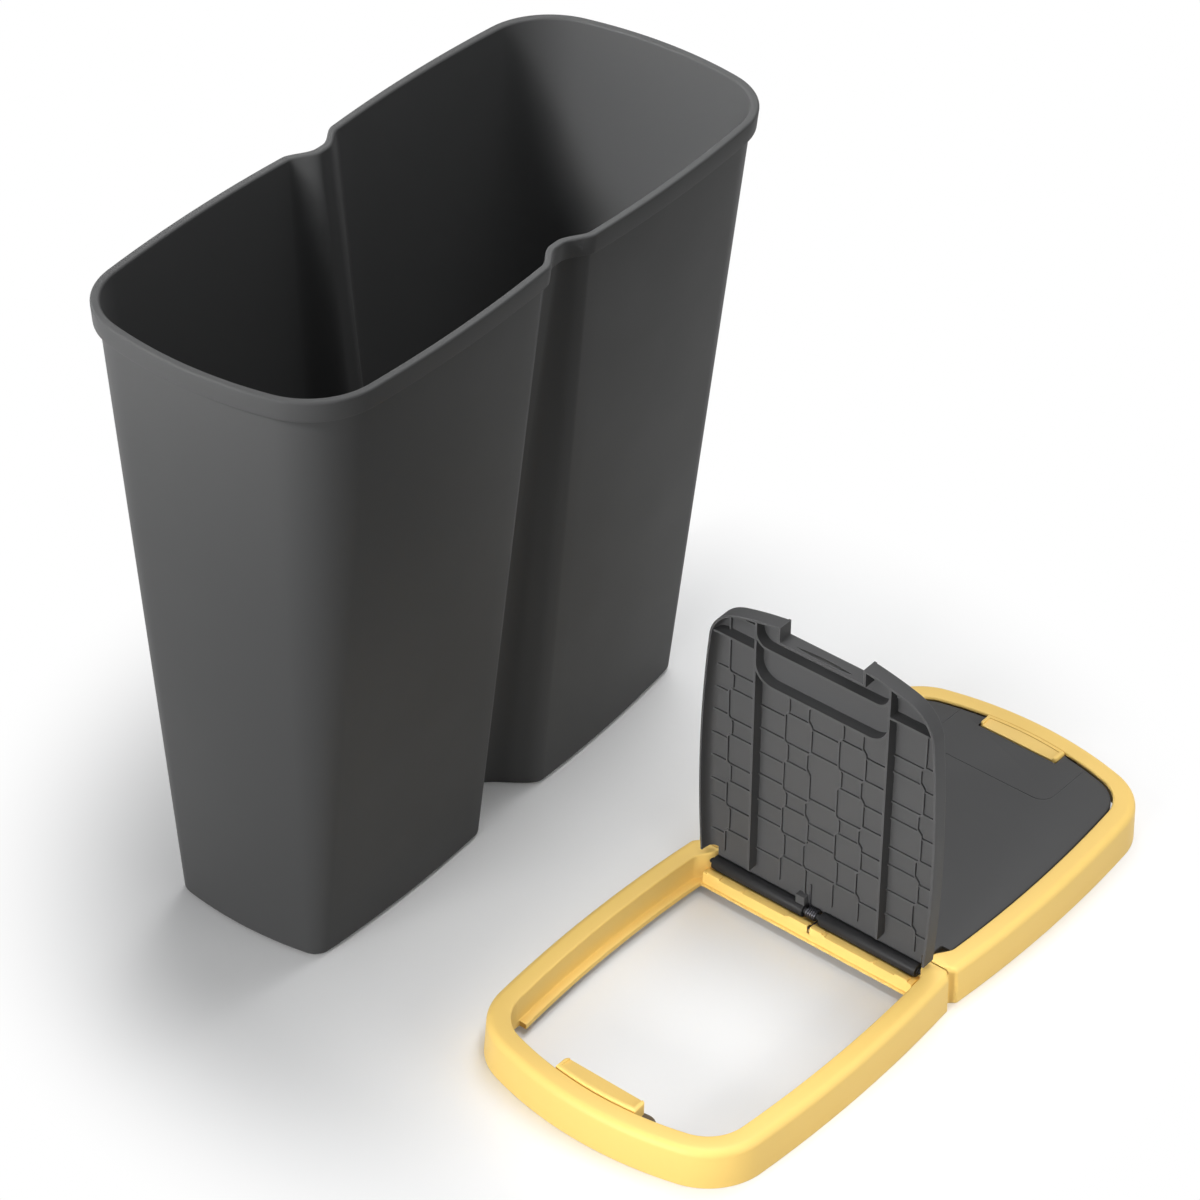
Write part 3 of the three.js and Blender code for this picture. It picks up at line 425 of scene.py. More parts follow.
GRAIN_HEIGHT, EDGE_MARK_WIDTH = 0.00012, 0.0009  # in metres
EDGE_POLISH = 0.15  # how much less rough the plastic is along the worn and highlighted edges
STREAK_SCALE = (60, 60, 2.5)  # streaks run upright


def node_group(name, inputs, outputs):
    """A new shader group with its sockets, and its two end nodes."""
    group = bpy.data.node_groups.new(name, "ShaderNodeTree")
    for label, kind, value in inputs:
        socket = group.interface.new_socket(label, in_out="INPUT", socket_type=kind)
        socket.default_value = value
    for label, kind in outputs:
        group.interface.new_socket(label, in_out="OUTPUT", socket_type=kind)
    return group, group.nodes.new("NodeGroupInput"), group.nodes.new("NodeGroupOutput")


def maths(tree, operation, first, second=None, third=None, clamp=False):
    """One sum in the node tree, of numbers and sockets."""
    node = tree.nodes.new("ShaderNodeMath")
    node.operation = operation
    node.use_clamp = clamp
    for socket, value in zip(node.inputs, (first, second, third)):
        if value is None:
            continue
        if isinstance(value, (int, float)):
            socket.default_value = value
        else:
            tree.links.new(value, socket)
    return node.outputs[0]


def noise(tree, vector, scale, detail=3.0):
    node = tree.nodes.new("ShaderNodeTexNoise")
    tree.links.new(vector, node.inputs["Vector"])
    if isinstance(scale, (int, float)):
        node.inputs["Scale"].default_value = scale
    else:
        tree.links.new(scale, node.inputs["Scale"])
    node.inputs["Detail"].default_value = detail
    node.inputs["Roughness"].default_value = 0.55
    return node.outputs["Fac"]


def spark_grain():
    """The fine even grain that a spark-eroded mould leaves: a height and a gloss value."""
    group, given, out = node_group(
        "spark_grain",
        [("Vector", "NodeSocketVector", (0, 0, 0)), ("Scale", "NodeSocketFloat", 1200.0),
         ("Gloss", "NodeSocketFloat", 0.5), ("Spread", "NodeSocketFloat", 0.06)],
        [("Height", "NodeSocketFloat"), ("Roughness", "NodeSocketFloat")])
    fine = noise(group, given.outputs["Vector"], given.outputs["Scale"], 2.0)
    cells = group.nodes.new("ShaderNodeTexVoronoi")
    group.links.new(given.outputs["Vector"], cells.inputs["Vector"])
    group.links.new(maths(group, "MULTIPLY", given.outputs["Scale"], 0.55),
                    cells.inputs["Scale"])
    height = maths(group, "ADD", maths(group, "MULTIPLY", fine, 0.7),
                   maths(group, "MULTIPLY", cells.outputs["Distance"], 0.5))
    broad = noise(group, given.outputs["Vector"], 14.0, 4.0)
    shift = maths(group, "MULTIPLY", maths(group, "SUBTRACT", broad, 0.5),
                  given.outputs["Spread"])
    group.links.new(height, out.inputs["Height"])
    group.links.new(maths(group, "ADD", given.outputs["Gloss"],
                          maths(group, "MULTIPLY", shift, 2.0), clamp=True),
                    out.inputs["Roughness"])
    return group


def colour_drift():
    """Slow drift of the dye, and faint streaks down the flow of the melt."""
    group, given, out = node_group(
        "colour_drift",
        [("Vector", "NodeSocketVector", (0, 0, 0)), ("Colour", "NodeSocketColor", (1, 1, 1, 1)),
         ("Amount", "NodeSocketFloat", 0.05)],
        [("Colour", "NodeSocketColor")])
    cloud = noise(group, given.outputs["Vector"], 6.0, 3.0)
    stretch = group.nodes.new("ShaderNodeMapping")
    stretch.inputs["Scale"].default_value = STREAK_SCALE
    group.links.new(given.outputs["Vector"], stretch.inputs["Vector"])
    streak = noise(group, stretch.outputs["Vector"], 1.0, 2.0)
    both = maths(group, "ADD", maths(group, "MULTIPLY", cloud, 1.3),
                 maths(group, "MULTIPLY", streak, 0.7))
    gain = maths(group, "MULTIPLY_ADD", maths(group, "SUBTRACT", both, 1.0),
                 given.outputs["Amount"], 1.0)
    scale = group.nodes.new("ShaderNodeVectorMath")
    scale.operation = "SCALE"
    group.links.new(given.outputs["Colour"], scale.inputs[0])
    group.links.new(gain, scale.inputs["Scale"])
    group.links.new(scale.outputs[0], out.inputs["Colour"])
    return group


def edge_wear_and_highlight():
    """A mask that is 1 along convex edges, in patches: it lightens the colour there as wear and
    painted highlight, and makes the plastic less rough.
    """
    group, given, out = node_group(
        "edge_wear_and_highlight",
        [("Vector", "NodeSocketVector", (0, 0, 0)), ("Strength", "NodeSocketFloat", 1.0)],
        [("Mask", "NodeSocketFloat")])
    bevel = group.nodes.new("ShaderNodeBevel")
    bevel.samples = 4
    bevel.inputs["Radius"].default_value = EDGE_MARK_WIDTH
    geometry = group.nodes.new("ShaderNodeNewGeometry")
    dot = group.nodes.new("ShaderNodeVectorMath")
    dot.operation = "DOT_PRODUCT"
    group.links.new(bevel.outputs["Normal"], dot.inputs[0])
    group.links.new(geometry.outputs["Normal"], dot.inputs[1])
    edge = maths(group, "MULTIPLY", maths(group, "SUBTRACT", 1.0, dot.outputs["Value"]), 5.0,
                 clamp=True)
    patch = noise(group, given.outputs["Vector"], 70.0, 3.0)
    lit_worn_edge = maths(group, "MULTIPLY", edge, maths(group, "ADD", patch, 0.2, clamp=True))
    group.links.new(maths(group, "MULTIPLY", lit_worn_edge, given.outputs["Strength"]),
                    out.inputs["Mask"])
    return group


GRAIN, DRIFT, EDGE_WEAR_AND_HIGHLIGHT = spark_grain(), colour_drift(), edge_wear_and_highlight()


def place_group(tree, group, vector, **values):
    """Puts a shared effect in a material and sets its inputs."""
    node = tree.nodes.new("ShaderNodeGroup")
    node.node_tree = group
    tree.links.new(vector, node.inputs["Vector"])
    for label, value in values.items():
        node.inputs[label].default_value = value
    return node


def moulded(slot, colour, lit_worn_edge, gloss, grain=1300.0, depth=0.25, drift=0.05, highlight_and_wear=0.5,
            metallic=0.0, specular=0.5, name=None):
    """A moulded or drawn surface with its grain, its drift of colour and its worn edges, which are
    lightened as a painted highlight.
    """
    material = bpy.data.materials.new(name or slot)
    material["slot"] = slot
    material.use_nodes = True
    tree = material.node_tree
    shader = tree.nodes["Principled BSDF"]
    shader.inputs["Metallic"].default_value = metallic
    shader.inputs["Specular IOR Level"].default_value = specular
    where = tree.nodes.new("ShaderNodeTexCoord").outputs["Object"]
    grained = place_group(tree, GRAIN, where, Scale=grain, Gloss=gloss)
    drifted = place_group(tree, DRIFT, where, Colour=(*colour, 1), Amount=drift)
    edges = place_group(tree, EDGE_WEAR_AND_HIGHLIGHT, where, Strength=highlight_and_wear)
    # painted highlight: the edge mask mixes a lighter colour in along convex edges, for wear and
    # for the light they catch
    blend = tree.nodes.new("ShaderNodeMix")
    blend.data_type = "RGBA"
    tree.links.new(edges.outputs["Mask"], blend.inputs["Factor"])
    tree.links.new(drifted.outputs["Colour"], blend.inputs["A"])
    blend.inputs["B"].default_value = (*lit_worn_edge, 1)
    tree.links.new(blend.outputs["Result"], shader.inputs["Base Color"])
    smoother = maths(tree, "MULTIPLY_ADD", edges.outputs["Mask"], -EDGE_POLISH,
                     grained.outputs["Roughness"], clamp=True)
    tree.links.new(smoother, shader.inputs["Roughness"])
    bump = tree.nodes.new("ShaderNodeBump")
    bump.inputs["Strength"].default_value = depth
    bump.inputs["Distance"].default_value = GRAIN_HEIGHT
    tree.links.new(grained.outputs["Height"], bump.inputs["Height"])
    tree.links.new(bump.outputs["Normal"], shader.inputs["Normal"])
    return material


# the second colour of each finish is its lighter edge colour: wear and painted highlight
GRAPHITE = moulded("graphite_plastic", (0.066, 0.0665, 0.067), (0.12, 0.12, 0.122), 0.52,
                   drift=0.02, specular=0.12)
FLAP_GREY = moulded("flap_plastic", (0.068, 0.068, 0.069), (0.16, 0.16, 0.165), 0.52,
                    specular=0.12)
# painted shade: the barrel's faces take a darker copy of the flap's plastic, standing in for the
# shadow in its trough
BARREL_PAINTED_SHADE = moulded("flap_plastic", (0.022, 0.022, 0.023), (0.05, 0.05, 0.052), 0.42,
                      depth=0.1, specular=0.12, name="barrel_painted_shade")
YELLOW = moulded("yellow_plastic", (0.91, 0.62, 0.18), (0.95, 0.74, 0.3), 0.45,
                 drift=0.02, depth=0.12, specular=0.3)
BROWN = moulded("bracket_plastic", (0.102, 0.069, 0.033), (0.16, 0.115, 0.06), 0.55)
BLACK = moulded("pin_plastic", (0.011, 0.011, 0.012), (0.03, 0.03, 0.03), 0.6, specular=0.15)
STEEL = moulded("spring_steel", (0.10, 0.10, 0.115), (0.35, 0.35, 0.37), 0.3, grain=2600.0,
                metallic=0.9)

# ------------------------------------------------------------------ bin


def rounded(centre, radius, start, end, steps):
    """An arc of section points, as (height, inset)."""
    return [(p.y, p.x) for p in arc(centre, radius, math.radians(start), math.radians(end), steps)]


def make_bin():
    outer = -RIM_OVERHANG
    skirt = outer + RIM_WALL  # the inner side of the turned-down rim
    top = BIN_HEIGHT - RIM_ROUND
    rim_foot = BIN_HEIGHT - RIM_HEIGHT
    inner = BASE_EDGE - BIN_WALL
    ring = BASE_EDGE + FOOT_WIDTH
    section = [
        (FOOT_HEIGHT, ring + FOOT_HEIGHT), (0.2, ring + 0.2), (0, ring - 0.2),
        *rounded((BASE_EDGE, BASE_EDGE), BASE_EDGE, 270, 180, 7),
        (top - RIM_WALL, 0), (top - RIM_WALL, skirt),
        (rim_foot + 0.3, skirt), (rim_foot, skirt - RIM_FOOT_BEVEL),
        (rim_foot, outer + RIM_FOOT_ROUND),
        *rounded((outer + RIM_FOOT_ROUND, rim_foot + RIM_FOOT_ROUND), RIM_FOOT_ROUND, 225, 180, 2),
        *rounded((outer + RIM_ROUND, top), RIM_ROUND, 180, 90, 6),
        *rounded((BIN_WALL - RIM_ROUND, top), RIM_ROUND, 90, 0, 6),
        *rounded((BIN_WALL + inner, BIN_FLOOR + inner), inner, 180, 270, 5),
    ]
    return loft([bin_ring(z, inset) for z, inset in section])


piece(make_bin(), "bin_tub_shell", "tub", GRAPHITE, TUB, ["bin_tub"])

# ------------------------------------------------------------------ lid frame

CHANNEL = RING_WIDTH - INNER_WALL  # inset of the channel that takes the bin's rim
SHOULDER_STEPS, INNER_STEPS = 9, 4


def crossbar_section():
    """An arched channel with a trough for each hinge barrel."""
    trough = BARREL_RADIUS + BARREL_GAP
    lip = math.asin((HINGE_Z - BAR_TOP) / trough)
    floor = HINGE_Z - trough - BAR_WALL
    half = [
        (BAR_HALF - BAR_WALL, floor), (BAR_HALF - BAR_WALL, BAR_BOTTOM),
        (BAR_HALF + BAR_STEP, BAR_BOTTOM), (BAR_HALF + BAR_STEP, BAR_BOTTOM + BAR_STEP),
        (BAR_HALF, BAR_BOTTOM + BAR_STEP), (BAR_HALF, BAR_TOP),
        *[tuple(p) for p in arc((HINGE_X, HINGE_Z), trough, -lip, -math.pi, 20)],
        (HINGE_X - trough, CREST_Z),
    ]
    return half + [(-x, z) for x, z in reversed(half)]


def cradle():
    """Raised pads on the bar, by the spring, part of the way out and near both ends."""
    inner = HINGE_X + BARREL_RADIUS + 1
    pads = [((-16, 14), 2.2), ((-18.6, 16.4), 1.2), ((58, 60), 1.2), ((-60, -58), 1.2),
            ((79, 90), 1.7), ((-90, -79), 1.7)]  # from and to along the bar, and the rise
    return gather([ease(box((inner, BAR_HALF - 0.05), ys, (BAR_TOP - 0.5, BAR_TOP + rise)), 0.25)
                   for ys, rise in pads])


def ring_section():
    """Plans of the ring from the skirt's foot up, inwards and back under the top."""
    ledge = RING_WIDTH + LEDGE_WIDTH
    under_top = LID_HEIGHT - WEB
    neck, notch = NECK_GROOVE, SKIRT_NOTCH
    depth, *widths = notch
    rings = [lid_ring(0.25, 0, notch), lid_ring(0, 0.3, notch),
             lid_ring(SKIRT_DRAFT, LID_HEIGHT - SHOULDER, notch)]
    rise = shoulder(SHOULDER, LID_HEIGHT, SHOULDER_STEPS)
    for i, (inset, z) in list(enumerate(rise))[1:]:
        share = i / SHOULDER_STEPS
        rings.append(lid_ring(SKIRT_DRAFT + inset, z, (mix(depth, depth / 2, share), *widths),
                              TOP_NOTCH_DEPTH * share))
    for i in range(INNER_STEPS + 1):
        a = math.pi / 2 * i / INNER_STEPS
        rings.append(lid_ring(RING_WIDTH - INNER_ROUND * (1 - math.sin(a)),
                              LID_HEIGHT - INNER_ROUND * (1 - math.cos(a)), neck,
                              TOP_NOTCH_DEPTH * (1 - i / (2 * INNER_STEPS))))
    inside = [
        (RING_WIDTH, LEDGE_TOP + 0.5), (RING_WIDTH + 0.5, LEDGE_TOP),
        (ledge - 1, LEDGE_TOP), (ledge - 0.3, LEDGE_TOP - 0.3), (ledge, LEDGE_TOP - 1),
        (ledge, LEDGE_BOTTOM + 0.3), (ledge - 0.3, LEDGE_BOTTOM),
        (CHANNEL, LEDGE_BOTTOM), (CHANNEL, under_top),
    ]
    rings += [lid_ring(inset, z, neck) for inset, z in inside]
    return rings + [
        lid_ring(SKIRT_DRAFT + SHOULDER, under_top, (depth / 2, *widths)),
        lid_ring(SKIRT_DRAFT + SKIRT_WALL + 1, under_top - 1.2, notch),
        lid_ring(SKIRT_DRAFT + SKIRT_WALL, LID_HEIGHT - SHOULDER, notch),
        lid_ring(SKIRT_WALL, 0, notch),
    ]


def latch_gap():
    """The room at a latch, where the ring has no inner wall and no ledge."""
    z0, z1 = LEDGE_BOTTOM - 1, LID_HEIGHT - WEB
    inside = prism(whole(lid_quarter(CHANNEL - 1, NECK_GROOVE)), z0, z1)
    end_part = box((LID_LENGTH / 2 - LATCH_GAP_DEPTH, LID_LENGTH),
                   (-LATCH_GAP_HALF, LATCH_GAP_HALF), (z0 - 1, z1 + 1))
    return work(inside, "INTERSECT", [end_part])


def spring_slit():
    return box((HINGE_X + 3, BAR_HALF + 1), (SPRING_Y - SLIT_HALF, SPRING_Y + SLIT_HALF),
               (BAR_TOP - 4, BAR_TOP + 3))


def pin_holes():
    through = WALL_AT_HINGE + INNER_WALL + 1
    rods = [rod(PIN_BORE, WALL_AT_HINGE - 1, through, 24),
            rod(PIN_BORE, -through, 1 - WALL_AT_HINGE, 24)]
    return turned(gather(rods), HINGE)


def ring_split():
    """The dark slit across the top of the ring, in the middle of a long side."""
    return box((-SPLIT_HALF, SPLIT_HALF), SPLIT_YS, (LID_HEIGHT - SPLIT_DEPTH, LID_HEIGHT + 2))


def make_frame():
    ring = loft(ring_section(), is_loop=True)
    end = WALL_AT_HINGE + INNER_WALL / 2
    bar = ease(beam(crossbar_section(), -end, end), 0.35)
    body = join(ring, bar, *both_ends(cradle))
    return cut(body, *both_ends(latch_gap), *both_ends(spring_slit), *both_ends(pin_holes),
               *both_ends(ring_split))


piece(make_frame(), "lid_frame_ring", "lid", YELLOW, LID, ["lid_frame"])

# ------------------------------------------------------------------ flap

RECESS_X = PADDLE_INNER - HINGE_X - PADDLE_GAP  # where the room for the paddle begins
CORE_RADIUS = 2.6

# Low ribs under the plate. Small and large cells take turns down each column, so the long
# ridges between the columns step in beside each small cell. Distances are from the hinge.
SMALL_CELLS = [(36.5, 58.6), (84, 98.5), (126, 143), (170, 185)]
OUTER_SMALL_CELLS = [(34, 56.5), (80.5, 97), (124, 139), (166, 181)]
RIDGES = {  # name: y beside large and small cells, far end, small cells
    "inner": (12, 15, 191, SMALL_CELLS),
    "middle": (35, 32, 191, SMALL_CELLS),
    "outer": (85, 81.5, 232, OUTER_SMALL_CELLS),
}
CROSS_RIBS = [  # the ridge or y at each end, and the distances
    ("inner", "mirror", [36, 63.4, 79.5, 102.5, 145, 166]),
    ("inner", "middle", [36.5, 58.6, 84, 98.5, 126, 143, 170, 185]),
    ("middle", RIB_Y, [31.5, 62, 78.5, 102, 122, 144.5, 165]),
    (RIB_Y, "outer", [34, 56.5, 80.5, 97, 124, 139, 166, 181, 233]),
    ("outer", "edge", [29, 59, 76, 98, 119, 141, 162, 183]),
]
RIDGE_START = 13
LOW_RIB, LOW_RIB_HEIGHT = 1.1, 1.6
CROSS_RIB = LOW_RIB * 1.001  # no side lies in the plane of a ridge's side
JOG = 2  # a ridge steps aside over twice this length


def ridge_y(name, x):
    """How far a ridge is from the flap's middle line."""
    large, small, _, cells = RIDGES[name]
    near = max(smoothstep(x, a - JOG, a + JOG) * (1 - smoothstep(x, b - JOG, b + JOG))
               for a, b in cells)
    return mix(large, small, near)


def ridge_path(name):
    _, _, end, cells = RIDGES[name]
    stops = [RIDGE_START, end]
    for a, b in cells:
        stops += [a - JOG, a, a + JOG, b - JOG, b, b + JOG]
    return [(x, ridge_y(name, x)) for x in sorted(stops)]


def edge_y(x, outline):
    """Half width of an outline at x."""
    ahead = [p for p in outline if p.y > 0]
    after = min((p for p in ahead if p.x >= x), key=lambda p: p.x)
    before = max((p for p in ahead if p.x <= x), key=lambda p: p.x)
    if after.x == before.x:
        return after.y
    return mix(before.y, after.y, (x - before.x) / (after.x - before.x))


def low_ribs():
    """The ridges and the cross ribs between them."""
    outline = flap_outline(FLAP_INSET + 0.6 * FLAP_EDGE, 0)
    z = (PLATE_UNDER - LOW_RIB_HEIGHT, PLATE_UNDER + 0.4)

    def reach(end, x):
        if end == "edge":
            return edge_y(x, outline)
        if end == "mirror":
            return -ridge_y("inner", x)
        return ridge_y(end, x) if isinstance(end, str) else end

    walls = []
    for side in (1, -1):
        for name in RIDGES:
            walls.append(wall([(x, side * y) for x, y in ridge_path(name)], LOW_RIB, *z))
    for start, end, distances in CROSS_RIBS:
        for x in distances:
            y0, y1 = reach(start, x), reach(end, x)
            for side in (1,) if end == "mirror" else (1, -1):
                walls.append(wall([(x, side * y0), (x, side * y1)], CROSS_RIB, *z))
    return walls


def pocket_plan(from_end, corner, inset, end_x):
    """Plan of a U between the two tall ribs, open towards the flap's end."""
    y = RIB_Y - inset
    return ([Vector((end_x, -y)), Vector((end_x, y))]
            + inner_corners(FLAP_REACH - from_end + inset, y, corner - inset, 12))


def lens_slot(x0, x1, middle, half_length, half_height):
    """The slot for the latch's tongue, pointed at both ends."""
    radius = (half_length ** 2 + half_height ** 2) / (2 * half_height)
    half = math.asin(half_length / radius)
    top = arc((0, middle + half_height - radius), radius, math.pi / 2 - half,
              math.pi / 2 + half, 16)
    bottom = [Vector((p.x, 2 * middle - p.y)) for p in top[-2:0:-1]]
    bm = prism(top + bottom, x0, x1)
    turn = Matrix(((0, 0, 1), (1, 0, 0), (0, 1, 0)))
    bmesh.ops.rotate(bm, verts=bm.verts, matrix=turn)
    return bm


def pressed_line():
    """The faint U pressed into the top of the flap round the latch."""
    end_x = FLAP_REACH + 1
    path = [(end_x, PRESSED_HALF), *inner_corners(PRESSED_X, PRESSED_HALF, PRESSED_CORNER, 8),
            (end_x, -PRESSED_HALF)]
    return wall(path, PRESSED_WIDTH, FLAP_TOP - PRESSED_DEPTH, FLAP_TOP + 1)


def flap_tray():
    """The plate with its edge all round, the inside of the edge coved into the plate."""
    sides = [(FLAP_INSET + 0.4, FLAP_FOOT), (FLAP_INSET, FLAP_FOOT + 0.4)]
    sides += [(FLAP_INSET + inset, z) for inset, z in shoulder(FLAP_ROUND, FLAP_TOP, 5)]
    cove = [(-0.3, FLAP_FOOT - 1), (0.1, FLAP_FOOT + 4), (1, PLATE_UNDER - 2.6),
            (2.6, PLATE_UNDER - 0.9), (5, PLATE_UNDER)]
    outside = loft([raised(flap_outline(inset, 0), z) for inset, z in sides])
    hollow = loft([raised(flap_outline(FLAP_INSET + FLAP_EDGE + inset, -1), z)
                   for inset, z in cove])
    return cut(outside, hollow)


def tall_ribs():
    zs = (RIB_FOOT, PLATE_UNDER + 0.5)
    half = RIB_THICKNESS / 2
    ribs = [box((RIB_START, RIB_END), (y - half, y + half), zs) for y in (RIB_Y, -RIB_Y)]
    ribs += [box((SHORT_RIB_X, SHORT_RIB_X + RIB_THICKNESS), ys, zs)
             for ys in ((RIB_Y, SHORT_RIB_END), (-SHORT_RIB_END, -RIB_Y))]
    for from_end, corner in POCKETS:
        shape = pocket_plan(from_end, corner, -half, RECESS_X)
        hollow = pocket_plan(from_end, corner, half, RECESS_X + 1)
        ribs.append(cut(prism(shape, *zs), prism(hollow, zs[0] - 1, zs[1] + 1)))
    return ribs


def barrel():
    """Both halves of the barrel, the core inside the spring, and what stands beside it."""
    low, high = SPRING_GAP
    return [ease(rod(BARREL_RADIUS, -BARREL_END, low), 0.3),
            rod(CORE_RADIUS, low - 0.5, high + 0.5),
            ease(rod(BARREL_RADIUS, high, BARREL_END), 0.3),
            ease(box((CORE_RADIUS, BARREL_RADIUS + 7), (low - 8, low), (-2, PLATE_UNDER + 0.5)),
                 0.4)]


def make_flap():
    tray = flap_tray()
    far = FLAP_REACH + 20
    recess_y = PADDLE_HALF + PADDLE_GAP
    through = (FLAP_FOOT - 1, FLAP_TOP + 1)
    block = box((RECESS_X - FLAP_EDGE, far), (-recess_y - FLAP_EDGE, recess_y + FLAP_EDGE),
                (FLAP_FOOT, FLAP_TOP - 0.01))
    plan = prism(flap_outline(FLAP_INSET + 0.05, 0), FLAP_FOOT + 0.01, FLAP_TOP)
    recess_wall = work(block, "INTERSECT", [plan])
    recess = box((RECESS_X, far), (-recess_y, recess_y), through)
    slot = lens_slot(RECESS_X - FLAP_EDGE - 1, RECESS_X + 1, PADDLE_BOTTOM - HINGE_Z - 1,
                     TONGUE_HALF + 1, 2)
    necks = [box((-1, FLAP_NECK), ys, through)
             for ys in ((BARREL_END, LID_WIDTH), (-LID_WIDTH, -BARREL_END))]
    window = box((-BARREL_RADIUS - 1, 4.6), SPRING_GAP, (-BARREL_RADIUS - 1, FLAP_TOP - 0.7))
    bores = [rod(PIN_BORE, *ys, 24) for ys in ((BARREL_END - PIN_DEPTH, BARREL_END + 1),
                                              (-BARREL_END - 1, PIN_DEPTH - BARREL_END))]
    body = cut(join(tray, recess_wall), recess, slot, *necks, window)
    body = join(body, *low_ribs())
    body = join(body, *tall_ribs(), *barrel())
    body = cut(body, *bores, pressed_line())
    for face in body.faces:  # the barrel's faces get a darker copy of the flap's plastic as painted shade for the hinge trough, a little less rough
        if all(math.hypot(v.co.x, v.co.z) < BARREL_RADIUS + 0.02 for v in face.verts):
            face.material_index = 1
    return body


for side in HALVES:
    piece(make_flap(), f"flap_{side}_tray", f"flap_{side}", FLAP_GREY, flap_place(side),
          [f"flap_{side}"], second=BARREL_PAINTED_SHADE)

# ------------------------------------------------------------------ latch


def end_arc(radius, half_width):
    """An arc round the centre of the lid's bowed end."""
    half = math.asin(half_width / radius)
    return arc((BOW_X, 0), radius, -half, half, 20)


def paddle_plan(inset):
    y = PADDLE_HALF - inset
    return (end_arc(RING_EDGE - PADDLE_GAP - inset, y)
            + inner_corners(PADDLE_INNER + inset, y, PADDLE_CORNER - inset, 8))


def make_paddle():
    """A press pad with a raised rim on three sides and a dish that falls to the fourth."""
    levels = [(0.5, PADDLE_BOTTOM), (0, PADDLE_BOTTOM + 0.5),
              *shoulder(PADDLE_ROUND, PADDLE_TOP, 5)]
    body = loft([raised(paddle_plan(inset), z) for inset, z in levels])
    y = PADDLE_HALF - DISH_SIDE_RIM
    plan = (end_arc(RING_EDGE - PADDLE_GAP - DISH_BACK_RIM, y)
            + [Vector((PADDLE_INNER - 2, y)), Vector((PADDLE_INNER - 2, -y))])
    dish = prism(plan, PADDLE_TOP - DISH_DEPTH, PADDLE_TOP + 2)
    for vert in dish.verts:
        if vert.co.z < PADDLE_TOP:
            fall = 1 - smoothstep(vert.co.x, PADDLE_INNER - 6, RING_EDGE + BOW_X)
            vert.co.z -= DISH_FALL * fall
    body = ease(cut(body, dish), 0.5, 3, 40)
    tongue = box((PADDLE_INNER - PADDLE_GAP + 0.3, PADDLE_INNER + 3), (-TONGUE_HALF, TONGUE_HALF),
                 (PADDLE_BOTTOM - 2, PADDLE_BOTTOM + 0.5))
    return join(body, ease(tongue, 0.2))


def make_bracket():
    """A shelf with round ends under the paddle, a riser to the ring and two pivot posts."""
    outer = RING_EDGE + 0.3 + RISER_THICKNESS
    top = HINGE_Z + FLAP_FOOT - 0.5
    bottom = top - SHELF_THICKNESS
    half = math.asin(SHELF_HALF / outer)
    middle = outer - SHELF_ROUND

    def end_cap(angle, start):
        centre = (BOW_X + middle * math.cos(angle), middle * math.sin(angle))
        return arc(centre, SHELF_ROUND, start, start + math.pi, 12)[1:-1]

    plan = (arc((BOW_X, 0), outer, -half, half, 24) + end_cap(half, half)
            + arc((BOW_X, 0), outer - 2 * SHELF_ROUND, half, -half, 24)
            + end_cap(-half, math.pi - half))
    shelf = ease(prism(plan, bottom, top), 0.6)
    band = bowed_band(outer - RISER_THICKNESS, outer, RISER_HALF)
    riser = ease(prism(band, bottom, LID_HEIGHT - WEB - 0.3), 0.3)
    pivot = LID_LENGTH / 2 - RING_WIDTH - 1.5
    posts = [ease(box((pivot - 4, pivot), (y - 3, y + 3), (top - 0.5, PADDLE_BOTTOM - 0.8)), 0.3)
             for y in (TONGUE_HALF, -TONGUE_HALF)]
    return join(shelf, riser, *posts)


for side, place in HALVES.items():
    piece(make_paddle(), f"latch_{side}_pad", f"latch_{side}", YELLOW, place,
          [f"latch_paddle_{side}"])
    piece(make_bracket(), f"latch_{side}_shelf", "lid", BROWN, place,
          [f"latch_bracket_{side}"])

# ------------------------------------------------------------------ hinge pins and springs

for side in HALVES:
    for end in "ab":
        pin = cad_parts[f"hinge_pin_{side}_{end}"]
        pin.data.materials.clear()
        pin.data.materials.append(BLACK)

WIRE = 0.6  # radius
COIL, TURNS, PITCH = 4, 5, 1.75
TURN_STEPS = 28
FOOT_INSET = 0.02  # keeps the foot's wire from lying in the coil's surface


def wire_piece(points, name, body, place, stands_for=()):
    """A round wire along points."""
    curve = bpy.data.curves.new(name, "CURVE")
    curve.dimensions = "3D"
    curve.bevel_depth = WIRE
    curve.bevel_resolution = 4
    curve.use_fill_caps = True
    spline = curve.splines.new("POLY")
    spline.points.add(len(points) - 1)
    for knot, p in zip(spline.points, points):
        knot.co = (*p, 1)
    holder = bpy.data.objects.new(name, curve)
    bpy.context.scene.collection.objects.link(holder)
    tube = bpy.data.meshes.new_from_object(
        holder.evaluated_get(bpy.context.evaluated_depsgraph_get()))
    bm = bmesh.new()
    bm.from_mesh(tube)
    bpy.data.objects.remove(holder)
    bpy.data.curves.remove(curve)
    bpy.data.meshes.remove(tube)
    bmesh.ops.remove_doubles(bm, verts=bm.verts, dist=SAME_POINT)
    bmesh.ops.recalc_face_normals(bm, faces=bm.faces)
    return piece(bm, name, body, STEEL, place, stands_for, smooth=60)


def bend(points, steps=6):
    """A smooth line through a few points."""
    out = []
    for i in range(len(points) - 1):
        a, b = points[max(i - 1, 0)], points[i]
        c, d = points[i + 1], points[min(i + 2, len(points) - 1)]
        for k in range(steps):
            t = k / steps
            out.append(0.5 * ((2 * b) + (c - a) * t + (2 * a - 5 * b + 4 * c - d) * t * t
                              + (3 * b - a - 3 * c + d) * t ** 3))
    return out + [points[-1]]


def coil_point(angle, end_angle, radius=COIL):
    """A point of the coil, which ends at the foot."""
    y = SPRING_Y - PITCH * (end_angle - angle) / (2 * math.pi)
    return Vector((radius * math.cos(angle), y, radius * math.sin(angle)))


